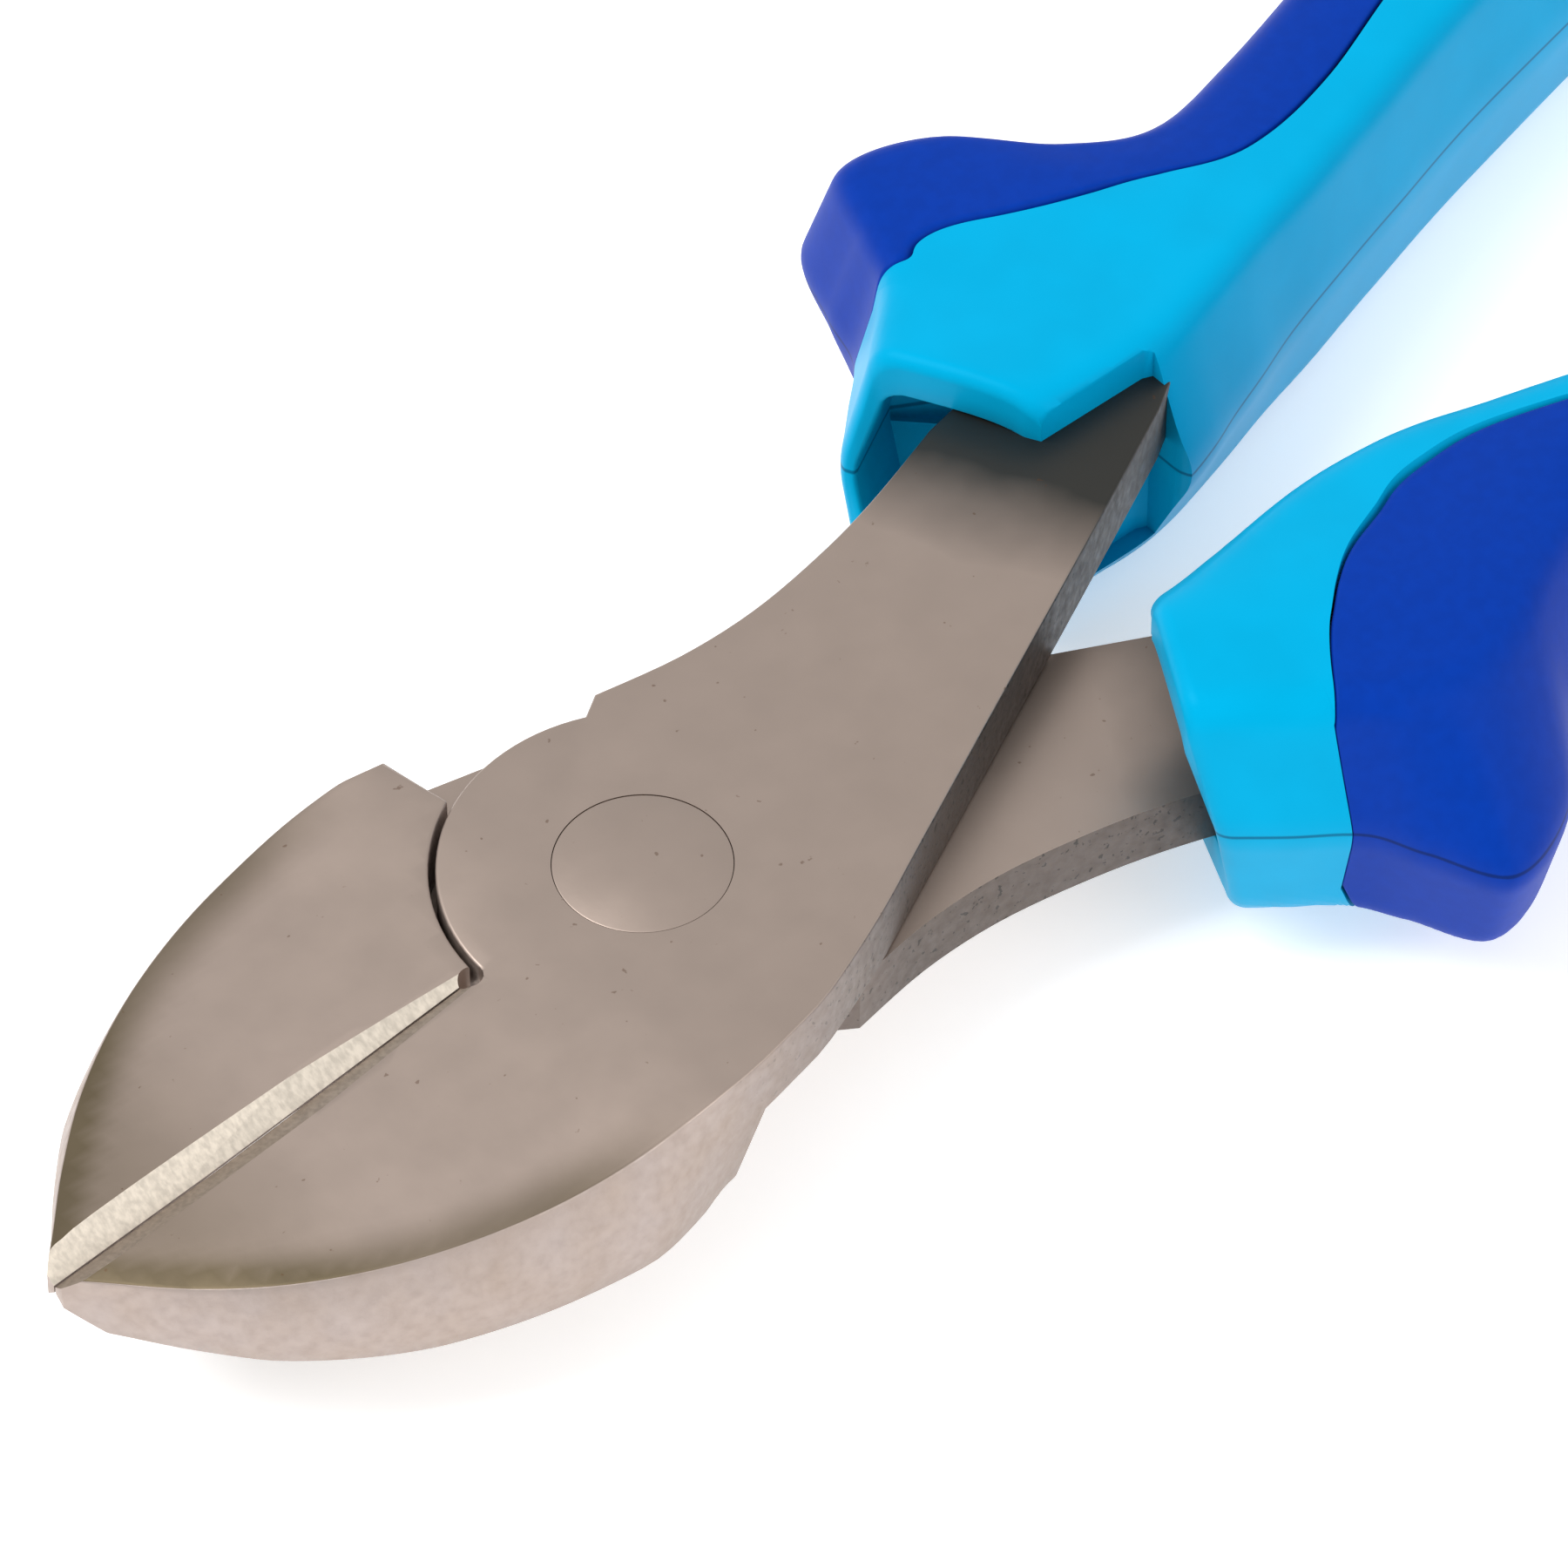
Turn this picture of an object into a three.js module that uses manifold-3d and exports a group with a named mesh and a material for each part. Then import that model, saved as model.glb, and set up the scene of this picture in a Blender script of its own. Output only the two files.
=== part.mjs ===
// Bevelled side cutters, 180 mm class: two crossed forged levers on a flush rivet, each with
// a two-material grip made of a hard core and a soft pad.
//
// Millimetres. The pivot axis is Z. The jaws point to -X, the handles to +X. The front lever
// carries the lower jaw (-Y) and the handle at +Y. The rear lever has the same plan turned half
// a turn about X, and both jaws slope away on their front faces. Everything is drawn about the
// plane where the levers lap, then lifted so that the rear end of the rivet lies on z = 0.

import * as THREE from "three";
import { mergeVertices } from "three/addons/utils/BufferGeometryUtils.js";
import Module from "manifold-3d";

const wasm = await Module();
wasm.setup();

// Driving dimensions
const HALF_THICKNESS = 3.34; // lap plane to the outer face of a lever
const LAP_CLEARANCE = 0.1; // each lever stays this far from the lap plane
const EDGE_CLEARANCE = 0.05; // each cutting edge stays this far from the closing line
const TIP_X = -32;
const BOSS_RADIUS = 8.95;
const BOSS_CLEARANCE = 0.3; // between a boss and the hollow of the other jaw
const RIVET_RADIUS = 3.95;
const RIVET_CORE_RADIUS = 3;
const RIVET_HEAD_HEIGHT = 0.9; // straight part of the countersunk head
const RIVET_CONE_HEIGHT = 0.95;
const RIVET_CLEARANCE = 0.1;
const ROUND_SEGMENTS = 64;

const JAW_START_X = -6; // the jaw faces begin to fall away here
const TIP_FRONT_Z = 0.7;
const TIP_BACK_Z = -2.0;
const TIP_BACK_START_X = -22; // the rear face only falls away near the tip
const WALL_LEAN = 1.1; // the outer jaw wall is wider at the rear by this much
const LEAN_START_X = -4.8;
const LEAN_BLEND = 6; // and grows to that over this distance from the shoulder and the edge
const SHOULDER_ANGLE = THREE.MathUtils.degToRad(-117); // the jaw's shoulder leaves the hollow
const SHOULDER_END = [-5.2, -15];
const EDGE_PIVOT_Z = 2.95; // height of the cutting edge beside the boss
const EDGE_TIP_Z = 0.05;
const BEVEL_TIP_WIDTH = 1.5; // ground bevel on the front of each edge
const BEVEL_PIVOT_WIDTH = 0.6;
const HOLLOW_TIP_WIDTH = 1.5; // hollow behind each edge
const HOLLOW_PIVOT_WIDTH = 4.5;
const EDGE_LAND = 0.5; // height of the meeting land
const EDGE_END_X = -9.3; // cutting edges end at the relief hole
const RELIEF_RADIUS = 0.7;

const TANG_FLOOR_Z = -2.2; // the tang inside the grip is thicker than the shank
const TANG_START = 34; // distance from the pivot, along the collar direction
const COLLAR_ANGLE = THREE.MathUtils.degToRad(29);
const SOCKET_CLEARANCE = 0.35; // between a tang and its grip
const SOCKET_MOUTH_INNER = [20, -2.6];
const SOCKET_MOUTH_OUTER = [18, 10.1];

const PAD_THICKNESS = 1.6;
const PAD_CLEARANCE = 0.3;
const REAR_GRIP_SHIFT = 4.2; // the rear grip sits nearer the pivot by this much
const GRIP_MIDDLE_Z = -1.4; // a grip's own middle plane
const MOUTH_STATION = 1; // the collar's mouth
const BACK_SLAB_Z = -6.6; // behind this height the collar is closed round the shank
const MOUTH_CORNER = [36.4, 7.75]; // the inner wall of the collar starts here
const BEYOND = 20; // cutters end this far outside every face
const SECTION_POWER = 3.4; // roundness of a grip section, 2 is an ellipse
const STATIONS_PER_SPAN = 3;
const PAD_COLUMNS = 10;
const CORE_COLUMNS = 10;
const STEP_ANGLE = 0.03; // the core's step down to the pad takes this much of a section
const BORDER_MARGIN = 0.04; // the core's step stands this far outside the pad's border
const END_MARGIN = 0.1; // and this part of a station beyond the pad's ends
const END_STEP = 0.05;

// One row per station along the front grip: inner edge, outer edge, half thickness, then the
// place of the pad's border on the front and rear faces, from -1 (inner) to 1 (outer).
const GRIP_STATIONS = [
  { inner: [27.8, 3.2], outer: [21.6, 14], half: 7.2, front: 0.93, rear: 0.9 },
  { inner: [30.6, 3.6], outer: [24.4, 15.8], half: 7.25, front: 0.93, rear: 0.9 },
  { inner: [33.6, 3.9], outer: [27.4, 17.4], half: 7.3, front: 0.93, rear: 0.8 },
  { inner: [36.6, 4.3], outer: [30.2, 19.5], half: 7.3, front: 0.9, rear: 0.32 },
  { inner: [38.9, 4.8], outer: [31.9, 22.4], half: 7.3, front: 0.72, rear: -0.24 },
  { inner: [41.2, 5.5], outer: [33.6, 26.2], half: 7.3, front: 0.2, rear: -0.57 },
  { inner: [43.8, 6.2], outer: [37.6, 25.6], half: 7.3, front: 0.06, rear: -0.6 },
  { inner: [47, 7.2], outer: [41.2, 22.2], half: 7.2, front: 0.16, rear: -0.56 },
  { inner: [51, 8.3], outer: [45.4, 19.9], half: 7.1, front: -0.08, rear: -0.44 },
  { inner: [56.5, 9.8], outer: [51.6, 20.8], half: 7.1, front: -0.16, rear: -0.45 },
  { inner: [66, 12.2], outer: [62, 24.2], half: 7.3, front: 0, rear: -0.45 },
  { inner: [84, 16.4], outer: [81.2, 30.8], half: 7.7, front: 0, rear: -0.45 },
  { inner: [104, 19.6], outer: [102.4, 35.2], half: 7.9, front: 0, rear: -0.45 },
  { inner: [124, 20.6], outer: [124, 36.2], half: 7.7, front: 0, rear: -0.4 },
  { inner: [139, 19.6], outer: [140.6, 34.2], half: 7.1, front: 0.1, rear: -0.2 },
  { inner: [145, 20.4], outer: [146.2, 32.2], half: 5.8, front: 0.3, rear: 0 },
  { inner: [147.6, 22.6], outer: [148.2, 29.6], half: 3.6, front: 0.6, rear: 0.4 },
];
const PAD_FIRST_STATION = 2.95;
const PAD_LAST_STATION = 14.2;

// Colours
const NICKEL = new THREE.MeshStandardMaterial({ color: 0xa5968c, roughness: 0.42, metalness: 0.9 });
const STEEL = new THREE.MeshStandardMaterial({ color: 0x9f938a, roughness: 0.4, metalness: 0.95 });
const LIGHT_BLUE = new THREE.MeshStandardMaterial({ color: 0x00b0e8, roughness: 0.35 });
const DARK_BLUE = new THREE.MeshStandardMaterial({ color: 0x0a3aa8, roughness: 0.6 });

// Solids
function toManifold(geometry) {
  const bare = geometry.index ? geometry.toNonIndexed() : geometry.clone();
  bare.deleteAttribute("normal");
  bare.deleteAttribute("uv");
  const merged = mergeVertices(bare, 1e-5);
  const mesh = new wasm.Mesh({
    numProp: 3,
    vertProperties: new Float32Array(merged.attributes.position.array),
    triVerts: new Uint32Array(merged.index.array),
  });
  return new wasm.Manifold(mesh);
}

function toGeometry(solid) {
  const mesh = solid.getMesh();
  const geometry = new THREE.BufferGeometry();
  geometry.setAttribute("position", new THREE.BufferAttribute(new Float32Array(mesh.vertProperties), 3));
  geometry.setIndex(new THREE.BufferAttribute(new Uint32Array(mesh.triVerts), 1));
  geometry.computeVertexNormals();
  return geometry;
}

function cylinder(radius, low, high, x = 0, y = 0) {
  const geometry = new THREE.CylinderGeometry(radius, radius, high - low, ROUND_SEGMENTS);
  geometry.rotateX(Math.PI / 2);
  geometry.translate(x, y, (low + high) / 2);
  return toManifold(geometry);
}

function prism(outline, low, high) {
  const shape = new THREE.Shape(outline.map(([x, y]) => new THREE.Vector2(x, y)));
  const geometry = new THREE.ExtrudeGeometry(shape, { depth: high - low, bevelEnabled: false });
  geometry.translate(0, 0, low);
  return toManifold(geometry);
}

// A closed block between two four-cornered ends, each listed in the same turning order.
function block(first, second) {
  const faces = [[0, 1, 2, 3], [7, 6, 5, 4]];
  for (let side = 0; side < 4; side += 1) {
    const next = (side + 1) % 4;
    faces.push([side, side + 4, next + 4, next]);
  }
  const index = faces.flatMap(([a, b, c, d]) => [a, b, c, a, c, d]);
  return meshSolid([...first, ...second].flat(), index);
}

function meshSolid(vertices, index) {
  const geometry = new THREE.BufferGeometry();
  geometry.setAttribute("position", new THREE.BufferAttribute(new Float32Array(vertices), 3));
  geometry.setIndex(index);
  return toManifold(geometry);
}

function spline(points, count) {
  const curve = new THREE.SplineCurve(points.map(([x, y]) => new THREE.Vector2(x, y)));
  return curve.getPoints(count).map((point) => [point.x, point.y]);
}

function along(distance, across = 0) {
  const cosine = Math.cos(COLLAR_ANGLE);
  const sine = Math.sin(COLLAR_ANGLE);
  return [distance * cosine - across * sine, distance * sine + across * cosine];
}

// Lever
const JAW_OUTLINE = [
  [TIP_X, -0.35], [-30.6, -1.9], [-28.4, -4.2], [-25.6, -6.65], [-22.4, -8.7],
  [-19, -10.25], [-15.2, -11.4], [-11, -12.1], [-7.4, -12.25], [-4.9, -12.05],
];
const SHANK_INNER_EDGE = [
  [-4.9, -12.05], [-1.8, -11.6], [1.5, -10.75], [5.9, -8.9], [10.2, -6.75],
  [18.2, -2.75], [27, 1.65], [35.2, 5.8],
];
const SHANK_OUTER_EDGE = [[26.5, 11.6], [21.6, 9.95], [17.5, 8.95], [13.2, 8.3], [9, 8.3], [4.7, 8.95]];
const BOSS_ARC_START = THREE.MathUtils.degToRad(66.5);
const BOSS_ARC_END = THREE.MathUtils.degToRad(180);

const TANG_INNER_EDGE = [[35.2, 5.8], [42, 9.6], [54, 13.4], [78, 20.3], [99, 24.6], [117, 26.2]];
const TANG_OUTER_EDGE = [
  [117, 29.4], [98, 27.8], [77, 23.4], [53, 16.6], [40, 14.0], [32, 12.7], [26.5, 11.6],
];

function arc(radius, start, end, count) {
  const points = [];
  for (let step = 0; step <= count; step += 1) {
    const angle = start + ((end - start) * step) / count;
    points.push([radius * Math.cos(angle), radius * Math.sin(angle)]);
  }
  return points;
}

function leverOutline() {
  return [
    ...spline(JAW_OUTLINE, 24).slice(0, -1),
    ...spline(SHANK_INNER_EDGE, 16).slice(0, -1),
    ...spline(TANG_INNER_EDGE, 14),
    ...spline(TANG_OUTER_EDGE, 14).slice(0, -1),
    ...spline(SHANK_OUTER_EDGE, 12),
    ...arc(BOSS_RADIUS, BOSS_ARC_START, BOSS_ARC_END, 24),
    [EDGE_END_X, -EDGE_CLEARANCE],
    [TIP_X, -EDGE_CLEARANCE],
  ];
}

// How far a point lies from the start of a slope (0) to the tip (1).
function towardTip(x, start) {
  return THREE.MathUtils.clamp((start - x) / (start - TIP_X), 0, 1);
}

// Height of the front or rear face of a jaw at a place along it.
function jawFace(level, x) {
  return level > 0
    ? THREE.MathUtils.lerp(HALF_THICKNESS, TIP_FRONT_Z, towardTip(x, JAW_START_X))
    : THREE.MathUtils.lerp(HALF_THICKNESS, -TIP_BACK_Z, towardTip(x, TIP_BACK_START_X));
}

// How far the outer wall of a jaw stands out at a level from -1 (rear face) to 1 (front face).
function wallLean(level, x, y) {
  if (y > -0.3 || x > LEAN_START_X) {
    return 0;
  }
  const share = Math.min(1, -y / LEAN_BLEND) * Math.min(1, (LEAN_START_X - x) / LEAN_BLEND);
  return Math.sin((Math.PI * (1 - level)) / 3) * WALL_LEAN * share;
}

// The lever before any cut. Facing is 1 if its jaw slopes on its own front face, or -1 if
// it is turned over later and so slopes on its own rear face.
function leverBlank(facing) {
  const shape = new THREE.Shape(leverOutline().map(([x, y]) => new THREE.Vector2(x, y)));
  const geometry = new THREE.ExtrudeGeometry(shape, { depth: 2, steps: 4, bevelEnabled: false });
  const position = geometry.attributes.position;
  for (let i = 0; i < position.count; i += 1) {
    const x = position.getX(i);
    const y = position.getY(i);
    const level = (position.getZ(i) - 1) * facing;
    position.setY(i, y - wallLean(level, x, y));
    position.setZ(i, level * jawFace(level, x) * facing);
  }
  return toManifold(geometry);
}

// Everything that the lever gives up behind the lap plane, from the jaw's shoulder to the tang.
function rearCut() {
  const hollowRadius = BOSS_RADIUS + BOSS_CLEARANCE;
  const shoulder = [hollowRadius * Math.cos(SHOULDER_ANGLE), hollowRadius * Math.sin(SHOULDER_ANGLE)];
  const outline = [
    shoulder, SHOULDER_END, along(TANG_START, -30), along(TANG_START, 20), [-5, 20], [-1, 0],
  ];
  const disc = cylinder(hollowRadius, -BEYOND, LAP_CLEARANCE);
  return prism(outline, -BEYOND, LAP_CLEARANCE).add(disc);
}

function tangFloorCut() {
  const start = TANG_START - 1;
  const outline = [along(start, -60), [160, -60], [160, 60], along(start, 60)];
  return prism(outline, -BEYOND, TANG_FLOOR_Z);
}

// The ground bevel in front of the cutting edge.
function frontBevel() {
  const end = (x, edge, width, face) => [
    [x, 2, edge - 2], [x, -EDGE_CLEARANCE, edge], [x, -width, face], [x, 2, face + 4],
  ];
  const tip = end(TIP_X - 2, EDGE_TIP_Z, BEVEL_TIP_WIDTH, TIP_FRONT_Z);
  return block(tip, end(EDGE_END_X + 1.5, EDGE_PIVOT_Z, BEVEL_PIVOT_WIDTH, HALF_THICKNESS));
}

// The deeper hollow behind the cutting edge.
function rearHollow() {
  const end = (x, edge, width, face) => [
    [x, 2, edge + 1], [x, 2, face - 4], [x, -width, face], [x, -EDGE_CLEARANCE, edge],
  ];
  const tip = end(TIP_X - 2, EDGE_TIP_Z - EDGE_LAND, HOLLOW_TIP_WIDTH, TIP_BACK_Z);
  const pivotEdge = EDGE_PIVOT_Z - EDGE_LAND;
  return block(tip, end(EDGE_END_X + 1.5, pivotEdge, HOLLOW_PIVOT_WIDTH, -HALF_THICKNESS));
}

function rivetProfile(clearance) {
  const end = HALF_THICKNESS + (clearance > 0 ? 1 : 0);
  const head = RIVET_RADIUS + clearance;
  const core = RIVET_CORE_RADIUS + clearance;
  const headLevel = HALF_THICKNESS - RIVET_HEAD_HEIGHT;
  const coneLevel = headLevel - RIVET_CONE_HEIGHT;
  const profile = [
    [0, -end], [head, -end], [head, -headLevel], [core, -coneLevel],
    [core, coneLevel], [head, headLevel], [head, end], [0, end],
  ];
  return profile.map(([radius, level]) => new THREE.Vector2(radius, level));
}

function rivetSolid(clearance) {
  const geometry = new THREE.LatheGeometry(rivetProfile(clearance), ROUND_SEGMENTS);
  geometry.rotateX(Math.PI / 2);
  return toManifold(geometry);
}

function leverSolid(facing) {
  const relief = cylinder(RELIEF_RADIUS, -BEYOND, BEYOND, EDGE_END_X - 0.3, 0.1);
  const edgeCuts = frontBevel().add(rearHollow());
  return leverBlank(facing)
    .subtract(rearCut())
    .subtract(tangFloorCut())
    .subtract(facing > 0 ? edgeCuts : edgeCuts.mirror([0, 0, 1]))
    .subtract(relief)
    .subtract(rivetSolid(RIVET_CLEARANCE));
}

// Grip
function sampleTrack(name, place) {
  const values = GRIP_STATIONS.map((station) => station[name]);
  const last = values.length - 1;
  const index = Math.min(Math.floor(place), last - 1);
  const t = place - index;
  const pick = (i) => values[THREE.MathUtils.clamp(i, 0, last)];
  const blend = (a, b, c, d) => 0.5 * (2 * b + (c - a) * t + (2 * a - 5 * b + 4 * c - d) * t * t
    + (3 * b - a - 3 * c + d) * t * t * t);
  const four = [pick(index - 1), pick(index), pick(index + 1), pick(index + 2)];
  if (Array.isArray(four[0])) {
    return [0, 1].map((axis) => blend(...four.map((value) => value[axis])));
  }
  return blend(...four);
}

// The angle on a section, from the outer edge (0) to the inner edge (pi), of a border.
function borderAngle(place, face) {
  const across = THREE.MathUtils.clamp(sampleTrack(face, place), -0.97, 0.97);
  return Math.acos(Math.sign(across) * Math.abs(across) ** (SECTION_POWER / 2));
}

function gripPoint(place, angle, inset) {
  const inner = sampleTrack("inner", place);
  const outer = sampleTrack("outer", place);
  const width = Math.hypot(outer[0] - inner[0], outer[1] - inner[1]) / 2;
  const rounded = (value) => Math.sign(value) * Math.abs(value) ** (2 / SECTION_POWER);
  const across = (rounded(Math.cos(angle)) * (width - inset)) / width;
  const half = sampleTrack("half", place) - inset;
  return [
    (inner[0] + outer[0]) / 2 + (across * (outer[0] - inner[0])) / 2,
    (inner[1] + outer[1]) / 2 + (across * (outer[1] - inner[1])) / 2,
    GRIP_MIDDLE_Z + rounded(Math.sin(angle)) * half,
  ];
}

function places(first, last) {
  const count = Math.round((last - first) * STATIONS_PER_SPAN);
  return Array.from({ length: count + 1 }, (_, i) => first + ((last - first) * i) / count);
}

// Faces between rows of points, each row running once round.
function sideFaces(rowCount, columns) {
  const index = [];
  const at = (row, column) => row * columns + (column % columns);
  for (let row = 0; row < rowCount - 1; row += 1) {
    for (let column = 0; column < columns; column += 1) {
      index.push(at(row, column), at(row + 1, column + 1), at(row + 1, column));
      index.push(at(row, column), at(row, column + 1), at(row + 1, column + 1));
    }
  }
  return index;
}

// A bar over rows of points, its two ends closed with fans.
function bar(rows) {
  const columns = rows[0].length;
  const vertices = rows.flat(2);
  const index = sideFaces(rows.length, columns);
  addFan(rows[0], vertices, index, 0, true);
  addFan(rows.at(-1), vertices, index, (rows.length - 1) * columns, false);
  return meshSolid(vertices, index);
}

function addFan(loop, vertices, index, start, first) {
  const centre = [0, 1, 2].map((axis) => loop.reduce((sum, point) => sum + point[axis], 0) / loop.length);
  const middle = vertices.length / 3;
  vertices.push(...centre);
  for (let column = 0; column < loop.length; column += 1) {
    const here = start + column;
    const next = start + ((column + 1) % loop.length);
    index.push(...(first ? [middle, next, here] : [middle, here, next]));
  }
}

// A sheet whose rows are long thin loops: its ends are closed across the thickness.
function sheet(rows) {
  const columns = rows[0].length;
  const index = sideFaces(rows.length, columns);
  const last = (rows.length - 1) * columns;
  for (let near = 0; near < columns / 2 - 1; near += 1) {
    const far = columns - 1 - near;
    index.push(near, far - 1, near + 1, near, far, far - 1);
    index.push(last + near, last + near + 1, last + far - 1);
    index.push(last + near, last + far - 1, last + far);
  }
  return meshSolid(rows.flat(2), index);
}

// Angles round a section: the pad's span first, then the bare core's span, with the border
// moved back by a clearance on the core so that the two pieces never touch.
function sectionAngles(place, margin) {
  const front = borderAngle(place, "front") + margin;
  const rear = -borderAngle(place, "rear") - margin;
  const under = Array.from({ length: PAD_COLUMNS + 1 }, (_, i) =>
    rear + ((front - rear) * i) / PAD_COLUMNS);
  const bareSpan = rear + 2 * Math.PI - front - 2 * STEP_ANGLE;
  const bare = Array.from({ length: CORE_COLUMNS + 1 }, (_, i) =>
    front + STEP_ANGLE + (bareSpan * i) / CORE_COLUMNS);
  return { under, bare };
}

function padSolid() {
  const rows = places(PAD_FIRST_STATION, PAD_LAST_STATION).map((place) => {
    const { under } = sectionAngles(place, 0);
    const outside = under.map((angle) => gripPoint(place, angle, 0));
    const inside = under.toReversed().map((angle) => gripPoint(place, angle, PAD_THICKNESS));
    return [...outside, ...inside];
  });
  return sheet(rows);
}

function coreRow(place, covered) {
  const { under, bare } = sectionAngles(place, BORDER_MARGIN);
  const depth = covered ? PAD_THICKNESS + PAD_CLEARANCE : 0;
  return [
    ...under.map((angle) => gripPoint(place, angle, depth)),
    ...bare.map((angle) => gripPoint(place, angle, 0)),
  ];
}

function coreBlank() {
  const last = GRIP_STATIONS.length - 1;
  const start = PAD_FIRST_STATION - END_MARGIN;
  const end = PAD_LAST_STATION + END_MARGIN;
  const before = places(MOUTH_STATION, start).map((place) => coreRow(place, false));
  const covered = places(start + END_STEP, end - END_STEP).map((place) => coreRow(place, true));
  const after = places(end, last).map((place) => coreRow(place, false));
  return bar([...before, ...covered, ...after]);
}

// The hollow that takes the tang.
function socket() {
  const inner = TANG_INNER_EDGE.map(([x, y]) => [x, y - SOCKET_CLEARANCE]);
  const outer = TANG_OUTER_EDGE.map(([x, y]) => [x, y + SOCKET_CLEARANCE]);
  const endX = outer[0][0] + 1;
  const outline = [
    SOCKET_MOUTH_INNER,
    ...spline([[28, 1.6], ...inner], 16),
    [endX, inner.at(-1)[1]],
    [endX, outer[0][1]],
    ...spline(outer, 16),
    SOCKET_MOUTH_OUTER,
  ];
  return prism(outline, TANG_FLOOR_Z - SOCKET_CLEARANCE, HALF_THICKNESS + SOCKET_CLEARANCE);
}

// Clears the inner wall of the collar, from the mouth to where the tang is narrow enough.
function collarOpening() {
  const [x, y] = MOUTH_CORNER;
  return prism([[0, -BEYOND], [x, -BEYOND], [x, y], [0, y]], BACK_SLAB_Z, BEYOND);
}

function halfTurn(solid) {
  return solid.rotate([180, 0, 0]);
}

const rearShift = along(-REAR_GRIP_SHIFT);
const shifted = (solid) => solid.translate([rearShift[0], rearShift[1], 0]);
const tangHollow = socket();
const core = coreBlank().subtract(collarOpening());
const pad = padSolid();

const pieces = [
  ["rear_lever", halfTurn(leverSolid(-1)), NICKEL],
  ["front_lever", leverSolid(1), NICKEL],
  ["pivot_rivet", rivetSolid(0), STEEL],
  ["front_grip_core", core.subtract(tangHollow), LIGHT_BLUE],
  ["front_grip_pad", pad, DARK_BLUE],
  ["rear_grip_core", halfTurn(shifted(core).subtract(tangHollow)), LIGHT_BLUE],
  ["rear_grip_pad", halfTurn(shifted(pad)), DARK_BLUE],
];

const pliers = new THREE.Group();
pliers.position.z = HALF_THICKNESS;
for (const [name, solid, material] of pieces) {
  const mesh = new THREE.Mesh(toGeometry(solid), material);
  mesh.name = name;
  pliers.add(mesh);
}

export default pliers;
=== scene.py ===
import bisect
import math

import bmesh
import bpy
from mathutils import Matrix, Vector
from mathutils.geometry import intersect_line_line_2d


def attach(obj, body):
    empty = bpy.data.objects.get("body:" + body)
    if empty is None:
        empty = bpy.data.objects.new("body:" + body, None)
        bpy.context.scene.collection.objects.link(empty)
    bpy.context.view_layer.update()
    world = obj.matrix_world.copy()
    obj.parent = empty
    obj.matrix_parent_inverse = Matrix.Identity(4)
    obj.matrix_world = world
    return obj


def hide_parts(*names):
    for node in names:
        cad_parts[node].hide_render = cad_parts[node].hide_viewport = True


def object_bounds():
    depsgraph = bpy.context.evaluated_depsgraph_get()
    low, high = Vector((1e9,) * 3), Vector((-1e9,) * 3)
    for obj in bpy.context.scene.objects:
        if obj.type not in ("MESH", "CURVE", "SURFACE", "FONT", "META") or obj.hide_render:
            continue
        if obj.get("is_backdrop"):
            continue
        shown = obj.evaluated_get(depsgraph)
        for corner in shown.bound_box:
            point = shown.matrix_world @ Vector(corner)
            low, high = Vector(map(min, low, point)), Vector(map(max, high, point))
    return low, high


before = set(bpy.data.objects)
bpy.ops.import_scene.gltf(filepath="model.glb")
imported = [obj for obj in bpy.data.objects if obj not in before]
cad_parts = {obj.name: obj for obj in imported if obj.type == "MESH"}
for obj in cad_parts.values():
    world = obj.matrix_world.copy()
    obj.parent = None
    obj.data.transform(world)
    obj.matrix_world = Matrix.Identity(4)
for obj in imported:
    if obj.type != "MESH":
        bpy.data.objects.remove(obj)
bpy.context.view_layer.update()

bl_info = {
    "name": "Side Cutters",
    "version": (1, 0, 0),
    "blender": (4, 5, 0),
    "location": "View3D > Sidebar > Side Cutters",
    "description": "Builds side cutters with lapped levers, a flush rivet and two-part grips",
    "category": "Add Mesh",
}

MM = 0.001

# Shapes are drawn in millimetres about the plane where the levers lap, with the pivot axis on Z,
# the jaws towards -X and the handles towards +X. The front lever is drawn, and the rear lever
# is the same forging given half a turn about X.

JAW_OUTLINE = [
    (-32.0, -0.45), (-30.6, -1.9), (-28.4, -4.2), (-25.6, -6.65), (-22.4, -8.7),
    (-19.0, -10.25), (-15.2, -11.4), (-11.0, -12.1), (-7.4, -12.25), (-4.9, -12.1), (-3.1, -11.85),
]
SHANK_INNER_EDGE = [
    (-3.1, -11.85), (-1.0, -11.4), (1.5, -10.75), (5.9, -8.9), (10.2, -6.75),
    (18.2, -2.75), (27.0, 1.65), (35.2, 5.8),
]
SHANK_OUTER_EDGE = [
    (26.5, 11.6), (21.6, 9.95), (17.5, 8.95), (13.2, 8.3), (9.0, 8.3), (4.7, 8.95),
]
TANG_INNER_EDGE = [
    (35.2, 5.8), (42.0, 9.6), (54.0, 13.4), (78.0, 20.3), (99.0, 24.6), (117.0, 26.2),
]
TANG_OUTER_EDGE = [
    (117.0, 29.4), (98.0, 27.8), (77.0, 23.4), (53.0, 16.6), (40.0, 14.0), (32.0, 12.7),
    (26.5, 11.6),
]

# From this distance along the collar on, the tang reaches behind the lap plane too. The middle
# of its height is over that plane.
TANG_START = 37.5
TANG_MIDDLE = 0.57
TANG_HALF = 2.77

BOSS_ARC_START = math.radians(66.5)
SHOULDER_ANGLE = math.radians(-117)
TIP_X = JAW_OUTLINE[0][0]
SHOULDER_X = -4.9
SHOULDER_SLOPE = 1.8
EDGE_END_X = -9.3
RELIEF_RADIUS = 0.62
RIVET_HEAD_RADIUS = 3.95
RIVET_CORE_RADIUS = 3.0
WALL_SLOT = 2

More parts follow.
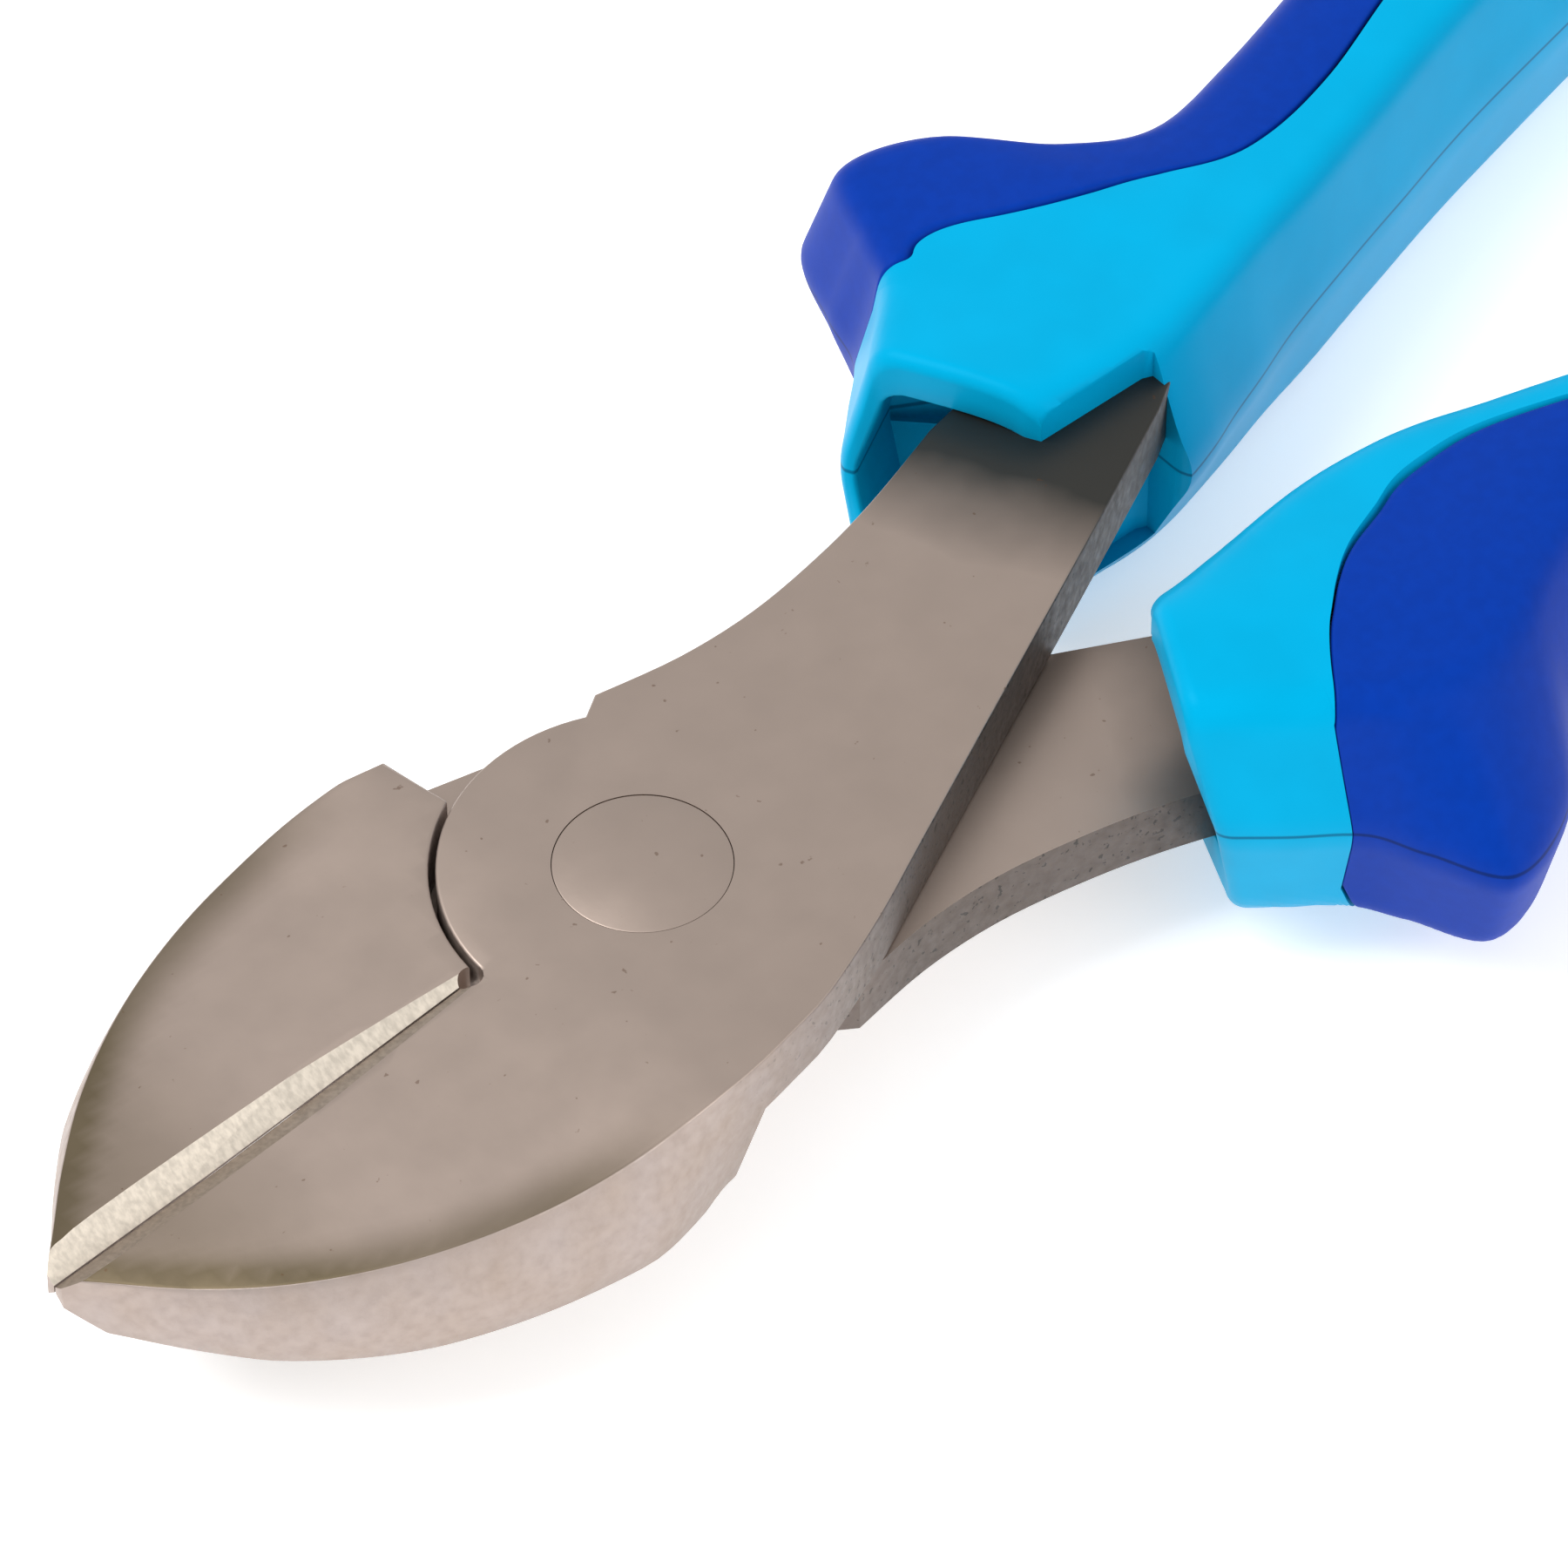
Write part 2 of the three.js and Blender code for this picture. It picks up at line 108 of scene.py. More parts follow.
# One row per station along the front grip: inner edge, outer edge, half thickness, how far the
# front outer, rear outer and inner ridges lie in from those edges, and the turns round the
# section of the pad's two borders.
GRIP_STATIONS = [
    ((27.8, 3.2), (21.6, 14.0), 7.20, 1.6, 1.6, 5.2, 0.100, -0.075),
    ((30.6, 3.6), (24.4, 15.8), 7.25, 1.6, 1.6, 5.0, 0.100, -0.075),
    ((33.6, 4.0), (27.0, 18.1), 7.30, 1.6, 1.7, 4.2, 0.118, -0.095),
    ((36.5, 4.6), (29.5, 20.6), 7.30, 1.6, 2.0, 3.3, 0.142, -0.175),
    ((38.8, 5.4), (30.5, 23.7), 7.30, 2.0, 3.5, 2.7, 0.162, -0.280),
    ((41.0, 6.4), (32.4, 27.7), 7.30, 2.2, 6.5, 2.2, 0.232, -0.330),
    ((43.5, 7.4), (36.9, 26.6), 7.30, 2.0, 6.0, 1.9, 0.256, -0.341),
    ((46.6, 8.7), (41.0, 22.3), 7.20, 1.8, 3.2, 1.5, 0.250, -0.340),
    ((50.5, 10.0), (45.2, 20.1), 7.10, 1.8, 2.4, 1.2, 0.276, -0.325),
    ((55.8, 11.6), (51.3, 21.4), 7.10, 2.0, 2.4, 1.2, 0.290, -0.308),
    ((65.2, 14.2), (61.7, 24.9), 7.30, 2.4, 2.6, 1.3, 0.272, -0.303),
    ((83.6, 17.8), (81.0, 31.2), 7.70, 3.0, 3.0, 2.0, 0.262, -0.300),
    ((104.0, 19.6), (102.4, 35.2), 7.90, 3.4, 3.4, 2.8, 0.250, -0.310),
    ((124.0, 20.6), (124.0, 36.2), 7.70, 3.4, 3.4, 3.0, 0.250, -0.290),
    ((139.0, 19.6), (140.6, 34.2), 7.10, 3.0, 3.0, 2.8, 0.200, -0.250),
    ((145.0, 20.4), (146.2, 32.2), 5.80, 2.4, 2.4, 2.4, 0.150, -0.180),
    ((147.6, 22.6), (148.2, 29.6), 3.60, 1.6, 1.6, 1.6, 0.120, -0.120),
]
LAST_STATION = len(GRIP_STATIONS) - 1
PAD_FIRST_STATION = 2.8
PAD_LAST_STATION = 14.2
PAD_ROWS = 170
PAD_COLUMNS = 84
CORE_COLUMNS = (44, 72)

# The part of the pad's length, at each end, that a share of its stations is packed into.
PAD_END_PACKING = (0.004, 0.03)

# How much wider than the pad the covered span of the core is at each border, in turns.
COVER_MARGIN = 0.0015

COLLAR_ANGLE = math.radians(29)

# The turns round a section at its corners: outer parting line, front outer ridge, front middle,
# front inner ridge, inner parting line, then the same three behind.
CORNER_TURNS = [0.0, 0.12, 0.25, 0.38, 0.5, 0.62, 0.75, 0.88, 1.0]

# The mouth of a collar: turns round the section, each with the distance from the pivot, measured
# along the collar.
MOUTH = [
    (0.00, 29.3), (0.10, 30.3), (0.14, 30.4), (0.37, 29.8), (0.41, 29.8), (0.50, 29.5),
    (0.60, 28.2), (0.64, 28.0), (0.86, 28.0), (0.90, 28.1), (1.00, 29.3),
]


# ---------------------------------------------------------------- settings

def number(name, description, default, **options):
    return bpy.props.FloatProperty(name=name, description=description, default=default, **options)


def color(name, description, default):
    return bpy.props.FloatVectorProperty(
        name=name, description=description, default=default, subtype="COLOR")


class LeverSettings(bpy.types.PropertyGroup):
    half_thickness: number(
        "Half thickness", "From the lap plane to the outer face of a lever, mm", 3.34)
    lap_clearance: number("Lap clearance", "From the lap plane to each lever, mm", 0.1)
    edge_clearance: number("Edge clearance", "From the closing line to each edge, mm", 0.05)
    boss_radius: number("Boss radius", "Radius of the round boss at the pivot, mm", 8.95)
    boss_clearance: number(
        "Boss clearance", "Between a boss and the hollow of the other jaw, mm", 0.3)
    rim_radius: number("Rim radius", "Rounding of the front rim, mm", 0.14)
    lap_rim_radius: number("Lap rim radius", "Rounding of the rim at the lap plane, mm", 0.4)
    rear_rim_radius: number("Rear rim radius", "Rounding of the front jaw's rear rim, mm", 0.7)
    nickel_color: color("Nickel", "Colour of the nickel plate", (0.41, 0.33, 0.284))
    # The two bevels are one ground steel, painted lit on the rear jaw and in painted shade on the
    # front jaw.
    ground_color: color("Ground steel", "Colour of the rear jaw's bevel", (0.68, 0.61, 0.52))
    shaded_bevel_color: color("Shaded ground steel", "Colour of the front jaw's bevel", (0.34, 0.28, 0.23))


class GripSettings(bpy.types.PropertyGroup):
    pad_thickness: number("Pad thickness", "Thickness of the soft pad, mm", 1.6)
    pad_gap: number("Pad gap", "Seam between pad and core, mm", 0.06)
    wall: number("Mouth wall", "Wall thickness at the sides of the mouth, mm", 0.9)
    mouth_lip: number("Mouth lip", "Wall thickness in front of and behind the shank, mm", 2.42)
    middle: number("Middle", "Height of a grip's parting plane over the lap plane, mm", -1.4)
    ridge_radius: number("Ridge radius", "Rounding of the long ridges of a grip, mm", 1.3)
    rear_shift: number("Rear shift", "How much nearer the pivot the rear grip sits, mm", 4.2)
    lean: number("Lean", "How far the grip being moulded sits in, mm", 0.0)
    rear_lean: number(
        "Rear lean", "How far the rear grip sits in towards the front one, mm", 2.1)
    hard_color: color("Hard moulding", "Colour of the hard core", (0.0, 0.33, 0.58))
    soft_color: color("Soft moulding", "Colour of the soft pad", (0.0, 0.032, 0.30))


class StageSettings(bpy.types.PropertyGroup):
    azimuth: number("Azimuth", "Camera turn about Z", math.radians(-40.2), subtype="ANGLE")
    elevation: number("Elevation", "Camera height angle", math.radians(48.35), subtype="ANGLE")
    roll: number("Roll", "Camera turn about its own axis", math.radians(-0.19), subtype="ANGLE")
    distance: number("Distance", "Camera distance from its target", 0.3743, unit="LENGTH")
    lens: number("Lens", "Focal length, mm", 195.3)
    target: bpy.props.FloatVectorProperty(
        name="Target", description="The point that the camera looks at", unit="LENGTH",
        default=(0.00951, 0.00179, 0.00334), precision=5)
    floor_color: color("Floor", "Colour of the floor", (0.93, 0.93, 0.93))


# ---------------------------------------------------------------- curves

def spline_point(points, place):
    """A point on the smooth curve through the points, at a fractional index."""
    last = len(points) - 1
    index = min(max(int(math.floor(place)), 0), last - 1)
    t = place - index
    near = [Vector(points[min(max(index + step, 0), last)]) for step in (-1, 0, 1, 2)]
    a, b, c, d = near
    return 0.5 * (2 * b + (c - a) * t + (2 * a - 5 * b + 4 * c - d) * t ** 2
                  + (3 * b - a - 3 * c + d) * t ** 3)


def smooth_path(points, spacing):
    """Points about the given distance apart on the smooth curve through the points."""
    path = []
    for index in range(len(points) - 1):
        length = (Vector(points[index + 1]) - Vector(points[index])).length
        count = max(1, round(length / spacing))
        path += [spline_point(points, index + step / count) for step in range(count)]
    return path + [Vector(points[-1])]


def arc(radius, start, end, spacing):
    """Points along a circle about the pivot."""
    count = max(2, round(abs(end - start) * radius / spacing))
    angles = [start + (end - start) * step / count for step in range(count + 1)]
    return [Vector((radius * math.cos(angle), radius * math.sin(angle))) for angle in angles]


def clamp(value, low=0.0, high=1.0):
    return max(low, min(high, value))


def lerp(a, b, t):
    return a + (b - a) * t


def along_collar(distance, across=0.0):
    """A plan point at a distance from the pivot along the collar's direction."""
    direction = Vector((math.cos(COLLAR_ANGLE), math.sin(COLLAR_ANGLE)))
    return direction * distance + Vector((-direction.y, direction.x)) * across


# ---------------------------------------------------------------- mesh helpers

def place_in_frame(bm, rear, lift):
    """Turns a rear piece over, then sets the mesh in metres in the frame's own place."""
    turn = Matrix.Rotation(math.pi if rear else 0.0, 4, "X")
    move = Matrix.Scale(MM, 4) @ Matrix.Translation((0, 0, lift)) @ turn
    bmesh.ops.transform(bm, matrix=move, verts=bm.verts)


def place_piece(piece, rear, lift, shift=(0, 0)):
    """Shifts a drawn piece in plan, then sets it in its own place in the frame."""
    bm = bmesh.new()
    bm.from_mesh(piece.data)
    bmesh.ops.translate(bm, verts=bm.verts, vec=(*shift, 0))
    place_in_frame(bm, rear, lift)
    bm.to_mesh(piece.data)
    bm.free()


def to_object(bm, name, *materials):
    mesh = bpy.data.meshes.new(name)
    bm.to_mesh(mesh)
    bm.free()
    piece = bpy.data.objects.new(name, mesh)
    for material in materials:
        mesh.materials.append(material)
    bpy.context.scene.collection.objects.link(piece)
    return piece


def finish_piece(piece, body, nodes, sharp_degrees=36):
    """Shades the piece smooth between its real edges and hands it to its body."""
    piece.data.shade_smooth()
    piece.data.set_sharp_from_angle(angle=math.radians(sharp_degrees))
    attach(piece, body)
    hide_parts(*nodes)


def carve(piece, cutter):
    """Cuts the cutter's volume out of the piece, and the new faces take its material."""
    modifier = piece.modifiers.new("carve", "BOOLEAN")
    modifier.operation = "DIFFERENCE"
    modifier.solver = "EXACT"
    modifier.material_mode = "TRANSFER"
    modifier.object = cutter
    graph = bpy.context.evaluated_depsgraph_get()
    mesh = bpy.data.meshes.new_from_object(piece.evaluated_get(graph))
    piece.modifiers.clear()
    piece.data = mesh
    bpy.data.objects.remove(cutter)


def face_chain(bm, points, z):
    return [bm.verts.new((point[0], point[1], z)) for point in points]


def note_values(piece, name, value_at):
    """Keeps a value for every vertex, which the materials read."""
    layer = piece.data.attributes.new(name, "FLOAT", "POINT")
    for vertex, item in zip(piece.data.vertices, layer.data):
        item.value = value_at(vertex.co)


def smooth_step(value):
    value = clamp(value)
    return value * value * (3 - 2 * value)


# ---------------------------------------------------------------- levers

def lever_chains(size):
    """The lever's plan as chains of points, each from one corner to the next."""
    gap = size.edge_clearance
    hollow = size.boss_radius + size.boss_clearance
    jaw = smooth_path(JAW_OUTLINE, 0.7)
    edge = [Vector((EDGE_END_X, -gap)), Vector((TIP_X, -gap))]
    shoulder = arc(hollow, SHOULDER_ANGLE, -math.pi, 0.6)[:-1]
    shank = smooth_path(SHANK_INNER_EDGE, 0.9)[1:-1]
    shank += smooth_path(TANG_INNER_EDGE, 3.0)
    shank += smooth_path(TANG_OUTER_EDGE, 3.0)[:-1]
    shank += smooth_path(SHANK_OUTER_EDGE, 0.9)
    shank += arc(size.boss_radius, BOSS_ARC_START, math.pi, 0.6)
    return jaw, shoulder, edge, shank


def lever_plan(bm, size):
    """Draws the plan as two faces in the lap plane: the jaw, then the boss and shank."""
    z = size.lap_clearance
    jaw, shoulder, edge, shank = (face_chain(bm, chain, z) for chain in lever_chains(size))
    jaw_face = bm.faces.new(jaw + shoulder + edge)
    shank_face = bm.faces.new([jaw[-1]] + shank + [edge[0]] + shoulder[::-1])
    return jaw_face, shank_face


def raise_faces(bm, faces, z):
    """Extrudes faces and moves the new ones to a height, and returns the new faces."""
    result = bmesh.ops.extrude_face_region(bm, geom=faces)["geom"]
    moved = [item for item in result if isinstance(item, bmesh.types.BMVert)]
    for vertex in moved:
        vertex.co.z = z
    return [item for item in result if isinstance(item, bmesh.types.BMFace)]


def at_level(edge, z):
    return all(abs(vertex.co.z - z) < 1e-4 for vertex in edge.verts)


def on_cutting_edge(edge, size):
    """Whether an edge lies on the cutting edge or the blunt end of the tip."""
    line = -size.edge_clearance
    straight = all(abs(vertex.co.y - line) < 1e-3 and vertex.co.x < EDGE_END_X + 0.3
                   for vertex in edge.verts)
    return straight or all(abs(vertex.co.x - TIP_X) < 1e-3 for vertex in edge.verts)


def is_rim(edge):
    return len(edge.link_faces) == 2 and edge.calc_face_angle(0.0) > math.radians(60)


def round_rims(bm, size, facing):
    """Rounds the rims of both faces and the rim at the lap plane."""
    half = size.half_thickness
    short, past_pivot = 1.2, 2
    far_radius = size.rear_rim_radius if facing > 0 else size.rim_radius
    for level, radius in ((half, size.rim_radius), (size.lap_clearance, size.lap_rim_radius),
                          (-half, far_radius)):
        rim = [edge for edge in bm.edges
               if at_level(edge, level) and is_rim(edge) and not on_cutting_edge(edge, size)]
        if level == size.lap_clearance:
            rim = [edge for edge in rim if edge.is_convex
                   and edge.calc_length() < short and edge.verts[0].co.x > past_pivot]
        bmesh.ops.bevel(bm, geom=rim, offset=radius, offset_type="OFFSET", segments=4,
                        profile=0.5, affect="EDGES", material=-1, clamp_overlap=True)


def slice_grid(bm, size):
    """Cuts the jaw into a fine net so that it can be shaped."""
    net_end = -4.0
    levels = (0.72, 0.45, 0.2, -0.2, -0.45, -0.65)
    slices = [((-31.0 + step, 0, 0), (1, 0, 0)) for step in range(28)]
    slices += [((0, -12.83 + 0.5 * step, 0), (0, 1, 0)) for step in range(28)]
    slices += [((0, 0, level * size.half_thickness), (0, 0, 1)) for level in levels]
    for point, normal in slices:
        chosen = [face for face in bm.faces if min(v.co.x for v in face.verts) < net_end]
        geom = set(chosen)
        for face in chosen:
            geom.update(face.edges)
            geom.update(face.verts)
        bmesh.ops.bisect_plane(bm, geom=list(geom), plane_co=point, plane_no=normal, dist=1e-5)


def toward_tip(x, start):
    return clamp((start - x) / (start - TIP_X))


def leaf_width(x):
    """Half the width of the leaf-shaped head at a place along it."""
    xs = [point[0] for point in JAW_OUTLINE]
    index = clamp(bisect.bisect(xs, x) - 1, 0, len(xs) - 2)
    t = clamp((x - xs[index]) / (xs[index + 1] - xs[index]))
    return -lerp(JAW_OUTLINE[index][1], JAW_OUTLINE[index + 1][1], t)


def shape_jaw(bm, size, facing):
    """Slopes and crowns the jaw's faces towards the tip and leans its outer wall out."""
    half = size.half_thickness
    slope_start, rear_start = -5.5, -20
    tip_front, tip_rear = 1.2, -2.0
    crown, wall_lean = 0.42, 1.15
    for vertex in bm.verts:
        x, y, z = vertex.co
        if z < 0:
            corner = clamp((-y - 8.4) / 3) * smooth_step((x + 8) / 4.5)
            x = vertex.co.x = x + SHOULDER_SLOPE * corner * z / half
        if x > SHOULDER_X + 0.5:
            continue
        z *= facing
        drop = crown * smooth_step((slope_start - x) / 9) * min(1, (x - TIP_X) / 6 + 0.35)
        drop *= clamp(-y / max(leaf_width(x), 0.4)) ** 2
        front = lerp(half, tip_front, toward_tip(x, slope_start) ** 1.12) - drop
        rear = lerp(-half, tip_rear, toward_tip(x, rear_start) ** 1.3)
        z = lerp(0, front, z / half) if z > 0 else lerp(0, rear, -z / half)
        if y < -0.3:
            depth = (front - z) / (front - rear)
            lean = wall_lean * math.sin(math.tau * depth / 3)
            y -= lean * clamp(-y / 6) * smooth_step((SHOULDER_X - x) / 6)
        vertex.co = (x, y, z * facing)


def split_faces(bm):
    """Makes triangles of the faces with more than four corners."""
    many = [face for face in bm.faces if len(face.verts) > 4]
    bmesh.ops.triangulate(bm, faces=many, quad_method="BEAUTY", ngon_method="BEAUTY")


def block_between(name, first, second, facing, material):
    """A closed block whose two ends are given."""
    bm = bmesh.new()
    corners = [bm.verts.new((x, y, z * facing)) for x, y, z in first + second]
    bmesh.ops.convex_hull(bm, input=corners)
    bmesh.ops.recalc_face_normals(bm, faces=bm.faces)
    return to_object(bm, name, material)


def edge_cutters(size, facing, ground, nickel):
    """Blocks that grind the front bevel and the rear hollow of the cutting edge."""
    gap = size.edge_clearance
    half = size.half_thickness
    above = 2
    near, far = EDGE_END_X + 0.2, TIP_X - 2

    def wedge(x, edge, width, face, reach):
        """The end of a block whose plane runs from the edge's height to the face, a width in."""
        slope = (face - edge) / (width - gap)
        deep = edge + reach * width * slope
        return [(x, above, edge - slope * (above + gap)), (x, -gap - reach * width, deep),
                (x, above, deep)]

    bevel = block_between("bevel_cutter", wedge(near, 2.9, 0.75, half, 4),
                          wedge(far, 0.0, 1.35, 1.0, 4), facing, ground)
    hollow = block_between("hollow_cutter", wedge(near, 2.35, 4.5, -half, 2),
                           wedge(far, -0.5, 1.4, -1.9, 2), facing, nickel)
    return bevel, hollow


def relief_cutter(material):
    """The round relief at the end of the cutting edge."""
    bm = bmesh.new()
    bmesh.ops.create_cone(bm, cap_ends=True, segments=64, radius1=RELIEF_RADIUS,
                          radius2=RELIEF_RADIUS, depth=40)
    bmesh.ops.translate(bm, verts=bm.verts, vec=(EDGE_END_X - 0.25, 0.1, 0))
    return to_object(bm, "relief_cutter", material)


def rivet_profile(size, clearance, end):
    """Half the outline of the rivet, from one end to the other, as (radius, height)."""
    head, core = RIVET_HEAD_RADIUS + clearance, RIVET_CORE_RADIUS + clearance
    straight = size.half_thickness - 0.9
    cone = straight - 0.95
    return [(0, -end), (head, -end), (head, -straight), (core, -cone),
            (core, cone), (head, straight), (head, end), (0, end)]


def spin_profile(profile):
    bm = bmesh.new()
    corners = [bm.verts.new((radius, 0, height)) for radius, height in profile]
    edges = [bm.edges.new(pair) for pair in zip(corners, corners[1:])]
    bmesh.ops.spin(bm, geom=corners + edges, cent=(0, 0, 0), axis=(0, 0, 1),
                   angle=math.tau, steps=128, use_merge=True)
    bmesh.ops.remove_doubles(bm, verts=bm.verts, dist=1e-5)
    bmesh.ops.recalc_face_normals(bm, faces=bm.faces)
    return bm


def painted_jaw_shade(point):
    """How much painted shade a place on the jaw gets: the dark reflection along its outer edge and
    towards its tip.
    """
    x, y, start = point.x, abs(point.y), -6
    if x > start:
        return 0.0
    along_edge = smooth_step(1 - (leaf_width(x) - y) / 2.6) * smooth_step((start - x) / 8)
    near_tip = 0.55 * smooth_step((-19 - x) / 9)
    return clamp(0.75 * along_edge + near_tip)


def mark_walls(bm):
    """Gives the upright faces the material of the forged walls."""
    for face in bm.faces:
        if abs(face.normal.z) < 0.6:
            face.material_index = WALL_SLOT


def build_lever(name, rear, size, nickel, ground, wall):
    """One forged lever, drawn as the front one and turned over if it is the rear one."""
    facing = -1 if rear else 1
    bm = bmesh.new()
    jaw_face, shank_face = lever_plan(bm, size)
    bmesh.ops.bisect_plane(
        bm, geom=[shank_face, *shank_face.edges, *shank_face.verts],
        plane_co=(*along_collar(TANG_START), 0), plane_no=(*along_collar(1.0), 0), dist=1e-5)
    tang_faces = [face for face in bm.faces
                  if collar_distance(face.calc_center_median()) > TANG_START]
    top = raise_faces(bm, list(bm.faces), size.half_thickness)
    inside = {edge for face in top for edge in face.edges
              if all(linked in top for linked in edge.link_faces)}
    for faces, floor in (([jaw_face], -size.half_thickness),
                         (tang_faces, TANG_MIDDLE - TANG_HALF)):
        raise_faces(bm, faces, floor)
        covered = [face for face in faces if face.is_valid]
        bmesh.ops.delete(bm, geom=covered, context="FACES_ONLY")
    bmesh.ops.dissolve_edges(bm, edges=[edge for edge in inside if edge.is_valid],
                             use_verts=False)
    bmesh.ops.recalc_face_normals(bm, faces=bm.faces)
    round_rims(bm, size, facing)
    slice_grid(bm, size)
    split_faces(bm)
    bm.normal_update()
    mark_walls(bm)
    shape_jaw(bm, size, facing)
    lever = to_object(bm, name, nickel, ground, wall)
    rivet_hole = spin_profile(rivet_profile(size, 0.02, 6.0))
    for cutter in (*edge_cutters(size, facing, ground, nickel), relief_cutter(nickel),
                   to_object(rivet_hole, "rivet_cutter", nickel)):
        carve(lever, cutter)
    # keeps the jaw's painted shade for the nickel material
    note_values(lever, "shade", painted_jaw_shade)
    place_piece(lever, rear, size.half_thickness)
    return lever


def build_rivet(size, material):
    half = size.half_thickness
    bm = spin_profile(rivet_profile(size, 0.0, half))
    rims = [edge for edge in bm.edges
            if (at_level(edge, half) or at_level(edge, -half))
            and all(vertex.co.xy.length > RIVET_HEAD_RADIUS - 0.05 for vertex in edge.verts)]
    bmesh.ops.bevel(bm, geom=rims, offset=0.08, offset_type="OFFSET", segments=2, profile=0.5,
                    affect="EDGES", material=-1)
    place_in_frame(bm, False, half)
    return to_object(bm, "pivot_rivet_fine", material)


# ---------------------------------------------------------------- grips

def station_at(place, lean):
    """The values of a station at a fractional place. The lean fades out towards both ends."""
    inner = spline_point([station[0] for station in GRIP_STATIONS], place)
    outer = spline_point([station[1] for station in GRIP_STATIONS], place)
    amount = lean * smooth_step((place - 1.2) / 5.5) * smooth_step((14 - place) / 4)
    shift = (inner - outer).normalized() * amount
    inner, outer = inner + shift, outer + shift
    rest = [spline_point([(station[column], 0.0) for station in GRIP_STATIONS], place).x
            for column in range(2, 8)]
    return inner, outer, *rest


class Section:
    """The outline of the grip at one station, with rounded ridges."""

    def __init__(self, place, radius, middle, lean):
        inner, outer, half, front, rear, inside, *borders = station_at(place, lean)
        narrowing = 0.06
        along = place - PAD_FIRST_STATION
        self.borders = (borders[0] - narrowing * clamp(1 - along / 0.9) ** 2,
                        borders[1] + narrowing * clamp(1 - along / 0.55) ** 2)
        self.inner, self.outer, self.half, self.middle = inner, outer, half, middle
        self.width = width = (outer - inner).length
        shoulder = half - 0.45
        centre = width / 2
        corners = [
            (width, 0), (width - front, shoulder), (centre, half), (inside, shoulder), (0, 0),
            (inside, -shoulder), (centre, -half), (width - rear, -shoulder),
        ]
        self.corners = [Vector(corner) for corner in corners]
        self.radii = [1.2, radius, 3.0, radius, 1.6, radius, 3.0, radius]

    def side_point(self, side, t):
        start, end = self.corners[side], self.corners[(side + 1) % 8]
        length = (end - start).length
        for corner, distance in ((side, t * length), ((side + 1) % 8, (1 - t) * length)):
            radius = min(self.radii[corner], length / 2)
            if distance < radius:
                return self.rounded(corner, corner == side, distance / radius)
        return start.lerp(end, t)

    def rounded(self, corner, leaving, part):
        """A point on the rounding of a corner, from its middle (0) to its end (1)."""
        here = self.corners[corner]
        before, after = self.corners[corner - 1], self.corners[(corner + 1) % 8]
        reach = [min(self.radii[corner], (other - here).length / 2) for other in (before, after)]
        first = here + (before - here).normalized() * reach[0]
        last = here + (after - here).normalized() * reach[1]
        s = 0.5 + 0.5 * part if leaving else 0.5 - 0.5 * part
        return (1 - s) ** 2 * first + 2 * s * (1 - s) * here + s ** 2 * last

    def point(self, turn, inset=0.0, lip=None):
        """The point at a turn round the outline, moved in sideways and from above or below."""
        turn %= 1.0
        side = bisect.bisect(CORNER_TURNS, turn) - 1
        low, high = CORNER_TURNS[side], CORNER_TURNS[side + 1]
        flat = self.side_point(side, (turn - low) / (high - low))
        lip = inset if lip is None else lip
        across = 0.5 + (flat.x / self.width - 0.5) * (1 - 2 * inset / self.width)
        plan = self.inner.lerp(self.outer, across)
        return Vector((plan.x, plan.y, self.middle + flat.y * (1 - lip / self.half)))


SECTIONS = {}


def section(place, settings):
    key = (round(place, 5), settings.lean)
    if key not in SECTIONS:
        SECTIONS[key] = Section(place, settings.ridge_radius, settings.middle, settings.lean)
    return SECTIONS[key]


def mouth_distance(turn):
    part = turn % 1.0
    for (start, low), (end, high) in zip(MOUTH, MOUTH[1:]):
        if part <= end:
            return lerp(low, high, (part - start) / (end - start))
    return MOUTH[-1][1]


def collar_distance(point):
    return point.x * math.cos(COLLAR_ANGLE) + point.y * math.sin(COLLAR_ANGLE)


def column_turns(place, settings):
    """Turns round the section: the pad's span first, then the bare span of the core."""
    front, rear = section(place, settings).borders
    front, rear = front + COVER_MARGIN, rear - COVER_MARGIN
    step = 0.003
    under, bare = CORE_COLUMNS
    turns = [lerp(rear, front, index / under) for index in range(under + 1)]
    return turns + [lerp(front + step, rear + 1.0 - step, index / bare)
                    for index in range(bare + 1)]


def slanted(place, turn):
    """The pad's end runs straight down the wall, so its stations differ round the section."""
    near_start = clamp(1 - (place - PAD_FIRST_STATION) / 2)
    return place + 0.32 * min(0.0, math.sin(math.tau * turn)) * near_start


def pad_place(run):
    """The station at a part of the pad's length, with more stations near the guard."""
    return lerp(PAD_FIRST_STATION, PAD_LAST_STATION, lerp(run, run * run, 0.45))


def mouth_place(column, settings):
    """The station where a column of the core meets the mouth, found by halving a span."""
    low, high = -0.9, 3.0
    for _ in range(20):
        middle = (low + high) / 2
        turn = column_turns(middle, settings)[column]
        if collar_distance(section(middle, settings).point(turn)) < mouth_distance(turn):
            low = middle
        else:
            high = middle
    return (low + high) / 2


def tang_span(place, lean):
    """Where the tang's two edges cross the line across the grip at a station, from 0 to 1."""
    inner, outer = station_at(place, lean)[:2]
    found = []
    for points in (TANG_INNER_EDGE, TANG_OUTER_EDGE):
        for start, end in zip(points, points[1:]):
            crossing = intersect_line_line_2d(inner, outer, Vector(start), Vector(end))
            if crossing:
                found.append((crossing - inner).length / (outer - inner).length)
                break
    return found


